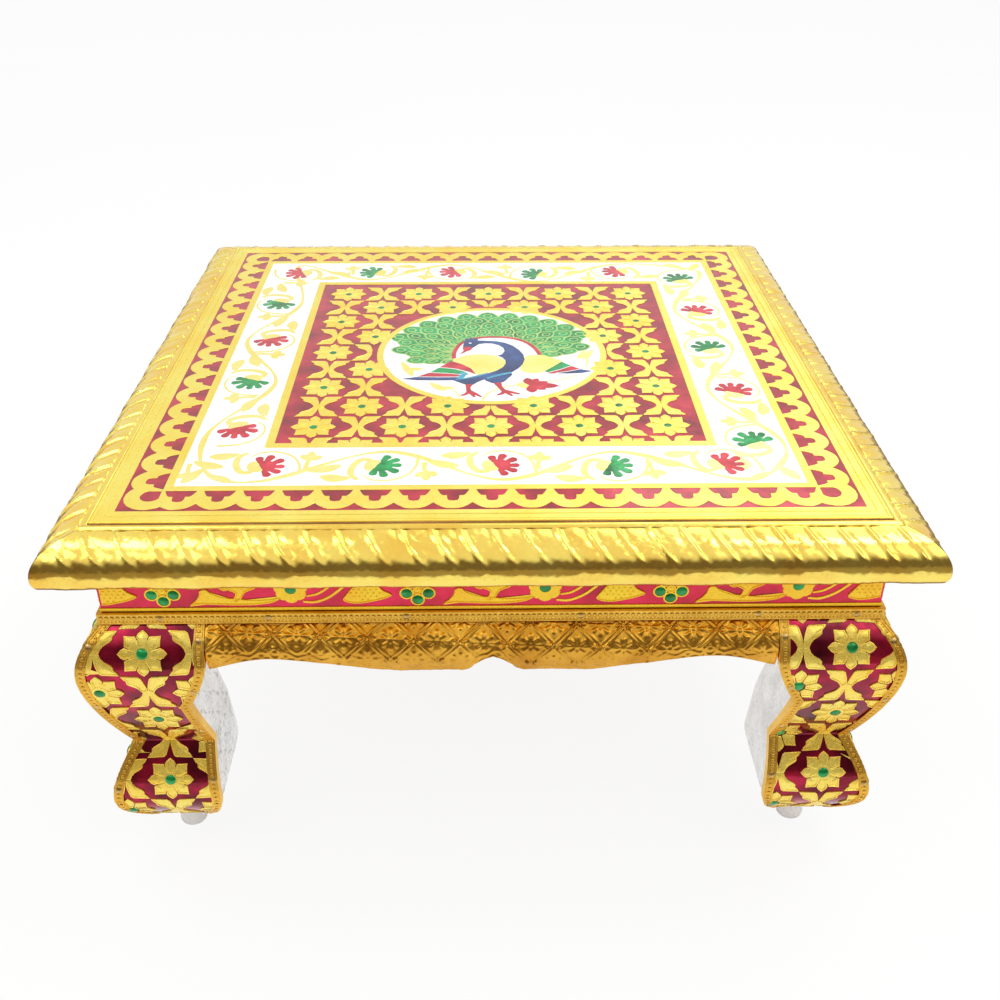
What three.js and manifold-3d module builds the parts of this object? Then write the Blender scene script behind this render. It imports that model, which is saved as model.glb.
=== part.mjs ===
// A bajot: a low square table of softwood, clad all over in embossed sheet metal.
// A moulded top board stands on a frame of flat battens, and the frame on four sawn legs.
// A bulging apron with a bow cut in its lower edge hangs between each two legs.
// Enamelled sheet covers what shows, beaded strip covers its edges, and plastic bushes keep
// the legs off the floor.
// Units are millimetres. +Z is up, the front faces -Y, and the origin is on the floor under the centre.
import * as THREE from "three";
import { mergeVertices } from "three/addons/utils/BufferGeometryUtils.js";
import Module from "manifold-3d";

const wasm = await Module();
wasm.setup();

// Sheet metal and the room round it
const foil = 0.4; // embossed sheet on the wood
const stripMetal = 0.5; // folded edging strip
const glueGap = 0.3; // adhesive between wood and sheet
const lapGap = 0.3; // between a strip and the sheet that it covers
const fitGap = 0.3; // between pieces that butt, and round a screw
const overrun = 5; // how far a cutter passes what it cuts

// Top board. Its edge is a quarter of a fat ellipse above the nose, and an ellipse's quarter below.
const topWidth = 304.8; // 12 inches over the nose
const boardThickness = 16.6;
const edgeWidth = 16.8; // moulded edge round the raised flat, over its sheet
const flatStep = 1.2; // drop from the flat to the moulding
const noseShare = 0.3; // nose's height, as a share of the moulding's
const underShare = 0.15; // how far the nose's lower round goes in, as a share of the moulding's width
const fatness = 2.3; // 2 is a plain ellipse
const upperSteps = 9;
const lowerSteps = 4;

// Frame of battens under the board
const overhang = 15.4; // how far the top's nose stands out past the frame
const battenWidth = 45;
const battenThickness = 19;

// Legs, sawn to one outline from two sides. A bulge or hollow is measured from the straight top.
const legHeight = 102.6;
const legSetback = 0.6; // leg's outer face behind the frame's face
const legTopWidth = 33.1;
const kneeBulge = 10;
const waistHollow = 1.5;
const footBulge = 8.1;
const soleTuck = 1;
const neckHollow = 8.5; // inner edge, behind the knee
const shinHollow = 4.6; // inner edge at the waist
const heelHollow = 3.2; // inner edge at the foot
const soleHollow = 10;
const swellPower = 2.5; // how fast the knee and the bulge of an apron swell
const sweepPower = 1.5; // how late the long curves turn in
const levelPitch = 5.5; // largest step between levels of a curved face
// How far down a leg each of them is, as shares of its height
const kneeShare = 0.234;
const waistShare = 0.617;
const footShare = 0.834;
const straightShare = 0.175; // where the inner edge starts to curve
const neckShare = 0.37;

// Beaded trim round the top of the legs and aprons, and the angle strips on the legs' edges
const trimHeight = 4.4;
const trimThickness = 1.6;
const stripWidth = 3.6; // each flange, over its outside

// Aprons between the legs
const apronThickness = 12; // at the top
const apronDepth = 23.8; // at its lowest, from the frame
const apronBulge = 7.6;
const apronTuck = 2.2; // how far the lowest edge is behind the bulge
const apronSteps = 22;
// Depths as shares of the deepest
const bulgeDepthShare = 0.63;
const notchDepthShare = 0.67;
const archDepthShare = 0.69;
const endDepthShare = 0.93;
const notchSideDropShare = 0.17; // of the way from the notch down to the lobes
// Places along half an apron, as shares of its half length, from the notch to the end
const notchSideShare = 0.03;
const notchMiddleShare = 0.062;
const lobeInnerShare = 0.115;
const lobeOuterShare = 0.34;
const archInnerShare = 0.54;
const archShare = 0.8;

// Bushes and screws
const bushWidth = 11;
const bushHeight = 16;
const bushEdge = 2; // rounding at the floor
const bushTaperShare = 0.88; // top width as a share of the full width
const bushSides = 24;
const screwHeadWidth = 8;
const screwHeadDepth = 3;
const screwShank = 4;
const screwTip = 4;
const screwSides = 12;
const legBiteShare = 0.25; // how much of a leg's height its screw enters
const boardBiteShare = 0.5; // how much of the board's thickness its screws enter

// Heights, widths and half widths that follow
const flatWidth = topWidth - 2 * edgeWidth;
const frameWidth = topWidth - 2 * overhang;
const legTop = bushHeight + legHeight;
const frameTop = legTop + battenThickness;
const boardTop = frameTop + boardThickness;
const skin = glueGap + foil; // sheet over wood
const stripSeat = skin + lapGap;
const stripFace = stripSeat + stripMetal;
const stripReach = stripWidth - stripFace; // how far a flange reaches over the wood
const noseHalf = topWidth / 2 - skin;
const flatHalf = flatWidth / 2;
const frameHalf = frameWidth / 2;
const legOuter = frameHalf - legSetback;
const legInner = legOuter - legTopWidth;
const trimInner = legOuter + skin + fitGap;
const landDrop = trimHeight + 2 * fitGap; // straight land behind the trim
const apronHalf = legInner - stripFace - fitGap;
const legScrewLength = battenThickness + legHeight * legBiteShare;
const boardScrewLength = battenThickness + boardThickness * boardBiteShare;

// Finishes
const finish = (color, roughness, metalness) =>
  new THREE.MeshStandardMaterial({ color, roughness, metalness });
const wood = finish(0xb98a5a, 0.8, 0);
const gold = finish(0xd9a520, 0.3, 1);
const embossed = finish(0xc08a1e, 0.35, 1);
const enamel = finish(0xa31838, 0.25, 0);
const panel = finish(0xf2e6b0, 0.3, 0);
const silver = finish(0xc9c9c6, 0.45, 1);
const plastic = finish(0xeeeeea, 0.5, 0);
const steel = finish(0x8c8c8c, 0.35, 1);

// A closed solid from a three.js geometry
function solid(geometry) {
  const bare = new THREE.BufferGeometry().setAttribute("position", geometry.getAttribute("position"));
  if (geometry.index) bare.setIndex(geometry.index);
  const merged = mergeVertices(bare);
  return new wasm.Manifold(
    new wasm.Mesh({
      numProp: 3,
      vertProperties: merged.getAttribute("position").array,
      triVerts: new Uint32Array(merged.index.array),
    }),
  );
}

// A named mesh from a solid
function piece(name, body, material) {
  const made = body.getMesh();
  const geometry = new THREE.BufferGeometry();
  geometry.setAttribute("position", new THREE.BufferAttribute(made.vertProperties, made.numProp));
  geometry.setIndex(new THREE.BufferAttribute(made.triVerts, 1));
  const faceted = geometry.toNonIndexed();
  faceted.computeVertexNormals();
  const mesh = new THREE.Mesh(faceted, material);
  mesh.name = name;
  return mesh;
}

const X = new THREE.Vector3(1, 0, 0);
const Y = new THREE.Vector3(0, 1, 0);
const Z = new THREE.Vector3(0, 0, 1);

// The outline [[a, b], ...] extruded from one place to another along z, x or y.
// a and b are x and y along z, y and z along x, and x and z along y.
function prism(outline, axis, from, to) {
  const shape = new THREE.Shape(outline.map(([a, b]) => new THREE.Vector2(a, b)));
  const geometry = new THREE.ExtrudeGeometry(shape, { depth: to - from, bevelEnabled: false });
  geometry.translate(0, 0, axis === "y" ? -to : from);
  if (axis === "x") geometry.applyMatrix4(new THREE.Matrix4().makeBasis(Y, Z, X));
  if (axis === "y") geometry.applyMatrix4(new THREE.Matrix4().makeBasis(X, Z, Y.clone().negate()));
  return solid(geometry);
}

function box(x0, x1, y0, y1, z0, z1) {
  const outline = [
    [x0, y0],
    [x1, y0],
    [x1, y1],
    [x0, y1],
  ];
  return prism(outline, "z", z0, z1);
}

const square = (half, z0, z1) => box(-half, half, -half, half, z0, z1);

// A solid turned round z from the profile [[radius, height], ...]
function turned(profile, sides) {
  const points = profile.map(([r, z]) => new THREE.Vector2(r, z));
  return solid(new THREE.LatheGeometry(points, sides).rotateX(Math.PI / 2));
}

// Lines are [[distance out from the table's centre, height], ...], from the top down.
const shifted = (line, by) => line.map(([u, z]) => [u + by, z]);
const between = (a, b) => [...a, ...[...b].reverse()];
const taller = (line) => [
  [line[0][0], line[0][1] + overrun],
  ...line,
  [line.at(-1)[0], line.at(-1)[1] - overrun],
];

// A line moved square to itself, to its left when followed from its start
function offset(line, by) {
  const normal = ([u0, z0], [u1, z1]) => new THREE.Vector2(z0 - z1, u1 - u0).normalize();
  return line.map(([u, z], i) => {
    const before = normal(line[Math.max(i - 1, 0)], line[Math.max(i, 1)]);
    const after = normal(line[Math.min(i, line.length - 2)], line[Math.min(i + 1, line.length - 1)]);
    const middle = before.clone().add(after).normalize();
    const reach = by / middle.dot(before);
    return [u + middle.x * reach, z + middle.y * reach];
  });
}

// Evenly spaced levels between stations, no further apart than the level pitch
function levelsBetween(stations) {
  const sorted = [...stations].sort((a, b) => a - b);
  const levels = [sorted[0]];
  for (let i = 1; i < sorted.length; i++) {
    const gap = sorted[i] - sorted[i - 1];
    const steps = Math.ceil(gap / levelPitch);
    for (let k = 1; k <= steps; k++) levels.push(sorted[i - 1] + (gap * k) / steps);
  }
  return levels;
}

// Ways of going from 0 to 1
const early = (t) => Math.sin((t * Math.PI) / 2);
const late = (t) => 1 - Math.cos((t * Math.PI) / 2);
const swollen = (t) => 1 - (1 - t) ** swellPower;
const swept = (t) => t ** sweepPower;
const even = (t) => t;

// The value at a drop, from stops [[drop, value, way of reaching it], ...]
function along(stops, drop) {
  if (drop <= stops[0][0]) return stops[0][1];
  const next = stops.findIndex(([end]) => drop <= end);
  if (next < 0) return stops.at(-1)[1];
  const [startDrop, start] = stops[next - 1];
  const [endDrop, end, way] = stops[next];
  return start + (end - start) * way((drop - startDrop) / (endDrop - startDrop));
}

// A countersunk screw that points down, with its head's face at height 0
function screw(length) {
  const profile = [
    [0, -length],
    [screwShank / 2, screwTip - length],
    [screwShank / 2, -screwHeadDepth],
    [screwHeadWidth / 2, 0],
    [0, 0],
  ];
  return turned(profile, screwSides);
}

// The hole that it is driven into, open above its head
function screwHole(length) {
  const profile = [
    [0, -length - fitGap],
    [screwShank / 2 + fitGap, screwTip - length],
    [screwShank / 2 + fitGap, -screwHeadDepth],
    [screwHeadWidth / 2 + fitGap, 0],
    [screwHeadWidth / 2 + fitGap, overrun],
    [0, overrun],
  ];
  return turned(profile, screwSides);
}

const legScrewPlace = (legOuter + legInner) / 2;
const boardScrewPlace = frameHalf - battenWidth / 2;
const boardScrewPlaces = {
  front: [0, -boardScrewPlace],
  back: [0, boardScrewPlace],
  left: [-boardScrewPlace, 0],
  right: [boardScrewPlace, 0],
};

// A leg's screw goes down through the frame, and a board's screw up.
const seatLegScrew = (body, x, y) => body.translate([x, y, frameTop - fitGap]);
const seatBoardScrew = (body, x, y) => body.rotate([180, 0, 0]).translate([x, y, legTop + fitGap]);

// Top board: one section sawn along x and along y, with the enamelled sheet on its flat
const mouldingWidth = noseHalf - flatHalf;
const mouldingHeight = boardThickness - flatStep;
const moulding = [];
for (let i = 0; i <= upperSteps; i++) {
  const angle = (i / upperSteps) * (Math.PI / 2);
  const out = Math.sin(angle) ** (2 / fatness);
  const up = noseShare + (1 - noseShare) * Math.cos(angle) ** (2 / fatness);
  moulding.push([flatHalf + out * mouldingWidth, frameTop + up * mouldingHeight]);
}
for (let i = 1; i <= lowerSteps; i++) {
  const angle = (i / lowerSteps) * (Math.PI / 2);
  const out = 1 - underShare * (1 - Math.cos(angle));
  const up = noseShare * (1 - Math.sin(angle));
  moulding.push([flatHalf + out * mouldingWidth, frameTop + up * mouldingHeight]);
}

function topBoard() {
  const right = [[flatHalf, boardTop], ...moulding];
  const left = right.map(([u, z]) => [-u, z]);
  const section = between(right, left);
  const reach = noseHalf + overrun;
  let board = prism(section, "x", -reach, reach).intersect(prism(section, "y", -reach, reach));
  for (const [x, y] of Object.values(boardScrewPlaces))
    board = board.subtract(seatBoardScrew(screwHole(boardScrewLength), x, y));
  return piece("top_board", board, wood);
}

// One side's edge sheet, wrapped over the moulding and under the board, mitred at both ends
function edgeSheet(name, turns) {
  const start = [flatHalf + fitGap, moulding[0][1]];
  const lip = [frameHalf + foil + 2 * fitGap, frameTop];
  const line = [start, ...moulding.slice(1), lip];
  const band = between(offset(line, glueGap), offset(line, skin));
  const reach = noseHalf + overrun;
  const apex = fitGap / Math.SQRT2;
  const wedge = [
    [0, apex],
    [reach, reach + apex],
    [-reach, reach + apex],
  ];
  const sheet = prism(band, "x", -reach, reach).intersect(
    prism(wedge, "z", frameTop - overrun, boardTop + overrun),
  );
  const mesh = piece(name, sheet, gold);
  mesh.rotation.z = (turns * Math.PI) / 2;
  return mesh;
}

// One batten of the frame, with the holes of the screws that pass it
function batten(name, x0, x1, y0, y1) {
  let body = box(x0, x1, y0, y1, legTop, frameTop);
  for (const x of [-legScrewPlace, legScrewPlace])
    for (const y of [-legScrewPlace, legScrewPlace])
      body = body.subtract(seatLegScrew(screwHole(legScrewLength), x, y));
  for (const [x, y] of Object.values(boardScrewPlaces))
    body = body.subtract(seatBoardScrew(screwHole(boardScrewLength), x, y));
  return piece(name, body, wood);
}

// The front and back battens are full width, and the side ones stand between them.
function frame() {
  const inner = frameHalf - battenWidth;
  const band = square(frameHalf + foil, legTop, frameTop);
  const trimTop = legTop - fitGap;
  const trim = square(trimInner + trimThickness, trimTop - trimHeight, trimTop);
  const group = new THREE.Group();
  group.add(
    batten("front_batten", -frameHalf, frameHalf, -frameHalf, -inner),
    batten("back_batten", -frameHalf, frameHalf, inner, frameHalf),
    batten("left_batten", -frameHalf, -inner, -inner, inner),
    batten("right_batten", inner, frameHalf, -inner, inner),
    piece("frieze_band", band.subtract(square(frameHalf, legTop - overrun, frameTop + overrun)), enamel),
    piece("beaded_trim", trim.subtract(square(trimInner, legTop - trimHeight - overrun, legTop)), gold),
  );
  for (const [side, [x, y]] of Object.entries(boardScrewPlaces))
    group.add(piece(`${side}_board_screw`, seatBoardScrew(screw(boardScrewLength), x, y), steel));
  return group;
}

// A leg's outline is between two lines that run down it at the same levels.
const kneeDrop = legHeight * kneeShare;
const waistDrop = legHeight * waistShare;
const footDrop = legHeight * footShare;
const straightDrop = legHeight * straightShare;
const neckDrop = legHeight * neckShare;
const outerStops = [
  [landDrop, 0],
  [kneeDrop, kneeBulge, swollen],
  [waistDrop, -waistHollow, swept],
  [footDrop, footBulge, early],
  [legHeight, -soleTuck, late],
];
const innerStops = [
  [straightDrop, 0],
  [neckDrop, neckHollow, swept],
  [waistDrop, shinHollow, even],
  [footDrop, heelHollow, even],
  [legHeight, soleHollow, late],
];
const stations = [0, landDrop, straightDrop, kneeDrop, neckDrop, waistDrop, footDrop, legHeight];
const legLevels = levelsBetween(stations);
const outerLine = legLevels.map((drop) => [legOuter + along(outerStops, drop), legTop - drop]);
const innerLine = legLevels.map((drop) => [legInner + along(innerStops, drop), legTop - drop]);
const belowTrim = (line) => line.filter(([, z]) => z <= legTop - landDrop);

// What is left of a block sawn to one outline seen from the front and to another seen from the side
function sawn(frontOutline, sideOutline) {
  const reach = frameWidth;
  return prism(frontOutline, "y", 0, reach).intersect(prism(sideOutline, "x", 0, reach));
}

function legCore() {
  const outline = between(outerLine, innerLine);
  const hole = seatLegScrew(screwHole(legScrewLength), legScrewPlace, legScrewPlace);
  return sawn(outline, outline).subtract(hole);
}

// Enamelled sheets on the two outer faces, the one that looks along x first
function faceSheets() {
  const across = between(shifted(outerLine, skin), shifted(outerLine, glueGap));
  const facing = between(shifted(outerLine, -fitGap), shifted(innerLine, fitGap));
  return [sawn(across, facing), sawn(facing, across)];
}

// White-metal lining of the two inner faces, one sheet folded at the inner corner
function lining() {
  const block = between(shifted(outerLine, -fitGap), shifted(innerLine, -skin));
  const inside = between(taller(shifted(outerLine, overrun)), taller(shifted(innerLine, -glueGap)));
  return sawn(block, block).subtract(sawn(inside, inside));
}

// Angle strip down the outer corner
function cornerStrip() {
  const outer = belowTrim(outerLine);
  const block = between(shifted(outer, stripFace), shifted(outer, -stripReach));
  const inside = between(taller(shifted(outer, stripSeat)), taller(shifted(outer, -stripReach - overrun)));
  return sawn(block, block).subtract(sawn(inside, inside));
}

// Angle strips down the inner edges of the two outer faces, the one that looks along x first
function edgeStrips() {
  const outer = belowTrim(outerLine);
  const inner = belowTrim(innerLine);
  const across = between(shifted(outer, stripFace), shifted(outer, -stripReach));
  const facing = between(shifted(inner, stripReach), shifted(inner, -stripFace));
  const acrossInside = between(
    taller(shifted(outer, stripSeat)),
    taller(shifted(outer, -stripReach - overrun)),
  );
  const facingInside = between(
    taller(shifted(inner, stripReach + overrun)),
    taller(shifted(inner, -stripSeat)),
  );
  return [
    sawn(across, facing).subtract(sawn(acrossInside, facingInside)),
    sawn(facing, across).subtract(sawn(facingInside, acrossInside)),
  ];
}

// A plastic bush, narrower at the sole and rounded at the floor
function bush() {
  const half = bushWidth / 2;
  const slant = bushEdge * Math.SQRT1_2;
  const profile = [
    [0, 0],
    [half - bushEdge, 0],
    [half - bushEdge + slant, bushEdge - slant],
    [half, bushEdge],
    [half * bushTaperShare, bushHeight],
    [0, bushHeight],
  ];
  return turned(profile, bushSides);
}

// One leg with its cladding, made at the back right corner and turned to its own.
// xSide and ySide are the sides that its two outer faces look to once it is turned.
function leg(name, turns, xSide, ySide) {
  const [xSheet, ySheet] = faceSheets();
  const [xStrip, yStrip] = edgeStrips();
  const sole = (outerLine.at(-1)[0] + innerLine.at(-1)[0]) / 2;
  const group = new THREE.Group();
  group.add(
    piece(`${name}_leg`, legCore(), wood),
    piece(`${name}_leg_${xSide}_sheet`, xSheet, enamel),
    piece(`${name}_leg_${ySide}_sheet`, ySheet, enamel),
    piece(`${name}_leg_lining`, lining(), silver),
    piece(`${name}_leg_corner_strip`, cornerStrip(), gold),
    piece(`${name}_leg_${xSide}_edge_strip`, xStrip, gold),
    piece(`${name}_leg_${ySide}_edge_strip`, yStrip, gold),
    piece(`${name}_leg_bush`, bush().translate([sole, sole, 0]), plastic),
    piece(
      `${name}_leg_screw`,
      seatLegScrew(screw(legScrewLength), legScrewPlace, legScrewPlace),
      steel,
    ),
  );
  group.rotation.z = (turns * Math.PI) / 2;
  return group;
}

// Aprons. The face bulges with the knees, and then turns under.
const apronStops = [
  [landDrop, 0],
  [apronDepth * bulgeDepthShare, apronBulge, swollen],
  [apronDepth, apronBulge - apronTuck, late],
];
const apronLevels = levelsBetween([0, ...apronStops.map(([drop]) => drop)]);
const apronFace = apronLevels.map((drop) => [legOuter + along(apronStops, drop), legTop - drop]);

// The bow of the lower edge: a notch in the middle, a lobe on each side of it, and an arch to each leg
function apronElevation() {
  const places = [
    [0, notchDepthShare],
    [notchSideShare, notchDepthShare + (1 - notchDepthShare) * notchSideDropShare],
    [notchMiddleShare, (1 + notchDepthShare) / 2],
    [lobeInnerShare, 1],
    [lobeOuterShare, 1],
    [archInnerShare, (1 + archDepthShare) / 2],
    [archShare, archDepthShare],
    [1, endDepthShare],
  ];
  const curve = new THREE.SplineCurve(
    places.map(([out, down]) => new THREE.Vector2(out * apronHalf, legTop - down * apronDepth)),
  );
  const right = curve.getPoints(apronSteps).map((p) => [p.x, p.y]);
  const left = right.map(([x, z]) => [-x, z]).reverse();
  const outline = [...left, ...right.slice(1), [apronHalf, legTop], [-apronHalf, legTop]];
  return prism(outline, "y", 0, frameWidth);
}

function apron(side, turns) {
  const elevation = apronElevation();
  const backPlace = legOuter - apronThickness;
  const back = [
    [backPlace, legTop],
    [backPlace, legTop - apronDepth],
  ];
  const board = prism(between(apronFace, back), "x", -apronHalf, apronHalf);
  const band = between(shifted(apronFace, skin), shifted(apronFace, glueGap));
  const sheet = prism(band, "x", -apronHalf, apronHalf);
  const group = new THREE.Group();
  group.add(
    piece(`${side}_apron`, board.intersect(elevation), wood),
    piece(`${side}_apron_sheet`, sheet.intersect(elevation), embossed),
  );
  group.rotation.z = (turns * Math.PI) / 2;
  return group;
}

// The whole table, with each side made at the back and turned to its own
const sides = ["back", "left", "front", "right"];
const table = new THREE.Group();
table.add(topBoard());
table.add(piece("enamelled_top_sheet", square(flatHalf, boardTop, boardTop + foil), panel));
sides.forEach((side, turns) => table.add(edgeSheet(`${side}_edge_sheet`, turns), apron(side, turns)));
table.add(frame());
table.add(leg("back_right", 0, "right", "back"));
table.add(leg("back_left", 1, "back", "left"));
table.add(leg("front_left", 2, "left", "front"));
table.add(leg("front_right", 3, "front", "right"));

export default table;
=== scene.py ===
"""A bajot, a low square table clad in embossed and enamelled sheet metal.

Lengths are written in millimetres and made metres where a mesh gets its points. +Z is up, the front
faces -Y, and the origin is on the floor under the centre. The flat of the top is drawn looking down,
with x to the right and y to the back.
"""

import math

import bpy
import numpy as np
from mathutils import Matrix, Vector


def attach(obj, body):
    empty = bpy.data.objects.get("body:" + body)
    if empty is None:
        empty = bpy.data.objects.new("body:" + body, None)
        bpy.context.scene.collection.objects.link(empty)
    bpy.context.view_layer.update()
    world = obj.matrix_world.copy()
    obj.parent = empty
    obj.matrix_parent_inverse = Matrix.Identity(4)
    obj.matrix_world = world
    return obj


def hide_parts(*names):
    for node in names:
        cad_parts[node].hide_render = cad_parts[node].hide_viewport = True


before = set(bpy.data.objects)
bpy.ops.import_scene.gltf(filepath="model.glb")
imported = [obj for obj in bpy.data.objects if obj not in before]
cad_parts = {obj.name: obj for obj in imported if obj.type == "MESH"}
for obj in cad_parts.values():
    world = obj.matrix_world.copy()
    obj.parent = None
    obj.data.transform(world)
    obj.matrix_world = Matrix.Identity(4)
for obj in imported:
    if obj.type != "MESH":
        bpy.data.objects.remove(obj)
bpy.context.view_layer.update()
scene = bpy.context.scene
MM = 0.001

# Camera: place, lens in millimetres on a 36 mm sensor, and angles in radians
camera_place = (-3.044, -448.25, 358.307)
camera_lens = 39.8715
look_down = 0.5596136
look_right = 0.0174926
lean = 0.0030986

# Sizes that the pieces stand on
top_face = 154.6
sheet_floor = 154.2
flat_half = 135.6
frame_top = 137.6
leg_top = 118.6
leg_height = 102.6
frieze_face = 137.4
# How far the cladding's face lies outside the wood, and the wall of a sheet
skin = 0.7
foil = 0.36
leg_outer = 136.4
leg_inner = 103.3
apron_half = 101.5


# Modelling helpers


def nothing_selected():
    if bpy.context.object and bpy.context.object.mode != "OBJECT":
        bpy.ops.object.mode_set(mode="OBJECT")
    bpy.ops.object.select_all(action="DESELECT")


def work_on(piece):
    nothing_selected()
    piece.select_set(True)
    bpy.context.view_layer.objects.active = piece
    return piece


def edit(piece):
    work_on(piece)
    bpy.ops.object.mode_set(mode="EDIT")
    bpy.ops.mesh.select_all(action="SELECT")


def leave():
    bpy.ops.object.mode_set(mode="OBJECT")


def pull(x, y, z):
    """Extrudes what is selected, by millimetres."""
    bpy.ops.mesh.extrude_region_move(TRANSFORM_OT_translate={"value": (x * MM, y * MM, z * MM)})


def area_of(points):
    return 0.5 * sum(a[0] * b[1] - b[0] * a[1] for a, b in zip(points, points[1:] + points[:1]))


def outlined(points):
    """A filled flat outline: a round sheet whose corners are drawn out to the points."""
    if area_of(points) < 0:
        points = points[::-1]
    nothing_selected()
    bpy.ops.mesh.primitive_circle_add(vertices=len(points), radius=MM, fill_type="NGON")
    piece = bpy.context.object
    for corner, (x, y) in zip(piece.data.vertices, points):
        corner.co = (x * MM, y * MM, 0)
    return piece


def laid_strip(left, right):
    """A flat strip between two edges that have as many points."""
    nothing_selected()
    bpy.ops.mesh.primitive_grid_add(x_subdivisions=len(left) - 1, y_subdivisions=1, size=MM)
    piece = bpy.context.object
    count = len(left)
    for i in range(count):
        piece.data.vertices[i].co = (left[i][0] * MM, left[i][1] * MM, 0)
        piece.data.vertices[count + i].co = (right[i][0] * MM, right[i][1] * MM, 0)
    return piece


def round_points(radius, count, x=0, y=0, tall=None):
    """Points round a circle, or round an oval where a second radius is given."""
    turns = np.linspace(0, 2 * math.pi, count + 1)[:-1]
    return [(x + radius * math.cos(a), y + (tall or radius) * math.sin(a)) for a in turns]


def smoothed(points, steps=4):
    """More points on a smooth curve through those given."""
    p = [np.array(q, float) for q in points]
    p = [2 * p[0] - p[1]] + p + [2 * p[-1] - p[-2]]
    found = []
    for a, b, c, d in zip(p, p[1:], p[2:], p[3:]):
        bend, twist = 2 * a - 5 * b + 4 * c - d, 3 * b - a - 3 * c + d
        for k in range(steps):
            t = k / steps
            found.append(0.5 * (2 * b + (c - a) * t + bend * t**2 + twist * t**3))
    found.append(p[-2])
    return [tuple(q) for q in found]


def rounded(points, steps=3):
    """A closed smooth curve through the points."""
    n = len(points)
    loop = smoothed([points[-1], *points, points[0], points[1]], steps)
    return loop[steps : steps + n * steps]


def stroked(points, widths, steps=4):
    """A flat strip along a smooth curve, as wide at each point as given."""
    if not hasattr(widths, "__len__"):
        widths = [widths] * len(points)
    line = smoothed([(x, y, w) for (x, y), w in zip(points, widths)], steps)
    left, right = [], []
    for i, (x, y, w) in enumerate(line):
        ahead, behind = line[min(i + 1, len(line) - 1)], line[max(i - 1, 0)]
        dx, dy = ahead[0] - behind[0], ahead[1] - behind[1]
        size = math.hypot(dx, dy) or 1
        nx, ny = -dy / size * w / 2, dx / size * w / 2
        left.append((x + nx, y + ny))
        right.append((x - nx, y - ny))
    return laid_strip(right, left)


def joined(parts, name):
    nothing_selected()
    for part in parts:
        part.select_set(True)
    bpy.context.view_layer.objects.active = parts[0]
    if len(parts) > 1:
        bpy.ops.object.join()
    piece = bpy.context.object
    piece.name = name
    return piece


def pulled_up(piece, low, high, rim=0.08):
    """Flat faces pulled up from one height to another, with a slanted rim round each."""
    edit(piece)
    bpy.ops.transform.translate(value=(0, 0, low * MM))
    pull(0, 0, high - low - rim)
    if rim:
        bpy.ops.mesh.inset(thickness=rim * MM, depth=rim * MM)
    leave()
    return piece


def copied(piece, places, name):
    """The piece copied to each place and joined, each copy with its own mesh. The first is used up."""
    twins = []
    for place in places:
        twin = piece.copy()
        twin.data = piece.data.copy()
        scene.collection.objects.link(twin)
        twin.data.transform(place)
        if place.determinant() < 0:
            twin.data.flip_normals()
        twins.append(twin)
    bpy.data.objects.remove(piece)
    return joined(twins, name)


def moved(x=0, y=0, z=0):
    return Matrix.Translation((x * MM, y * MM, z * MM))


def turned(angle):
    return Matrix.Rotation(angle, 4, "Z")


quarter_turns = [turned(k * math.pi / 2) for k in range(4)]
# From the front of the table to each side
side_turn = dict(zip(("front", "right", "back", "left"), quarter_turns))
# From the back right leg to each leg
leg_turn = dict(zip(("back_right", "back_left", "front_left", "front_right"), quarter_turns))


def faces_outward(piece):
    edit(piece)
    bpy.ops.mesh.normals_make_consistent(inside=False)
    leave()
    return piece


def smooth(piece, angle=30):
    work_on(piece)
    bpy.ops.object.shade_smooth_by_angle(angle=math.radians(angle))
    return piece


def done(piece, finish, stands_for=()):
    """Gives a piece its finish, and hides the CAD nodes that it stands for."""
    piece.data.materials.clear()
    piece.data.materials.append(finish)
    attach(piece, "root")
    if stands_for:
        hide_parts(*stands_for)
    return piece


def shell(name, rows):
    """A sheet through rows of points, in millimetres, that face right when the rows go up."""
    count, depth = len(rows[0]), len(rows)
    nothing_selected()
    bpy.ops.mesh.primitive_grid_add(x_subdivisions=count - 1, y_subdivisions=depth - 1, size=1)
    piece = bpy.context.object
    piece.name = name
    points = np.asarray(rows, float).reshape(-1, 3) * MM
    piece.data.vertices.foreach_set("co", points.ravel())
    piece.data.update()
    return piece


def closed_sheet(name, rows):
    """A sheet whose last row of points is its first again, with both ends filled."""
    piece = shell(name, rows[::-1])
    edit(piece)
    bpy.ops.mesh.remove_doubles(threshold=0.002 * MM)
    bpy.ops.mesh.select_all(action="DESELECT")
    bpy.ops.mesh.select_non_manifold()
    bpy.ops.mesh.fill_holes(sides=0)
    bpy.ops.mesh.select_all(action="SELECT")
    bpy.ops.mesh.normals_make_consistent(inside=False)
    leave()
    return piece


def thickened(piece):
    """The sheet with a wall behind its face."""
    work_on(piece)
    wall = piece.modifiers.new("wall", "SOLIDIFY")
    wall.thickness = foil * MM
    wall.offset = -1
    bpy.ops.object.modifier_apply(modifier=wall.name)
    return piece


# Finishes


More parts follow.
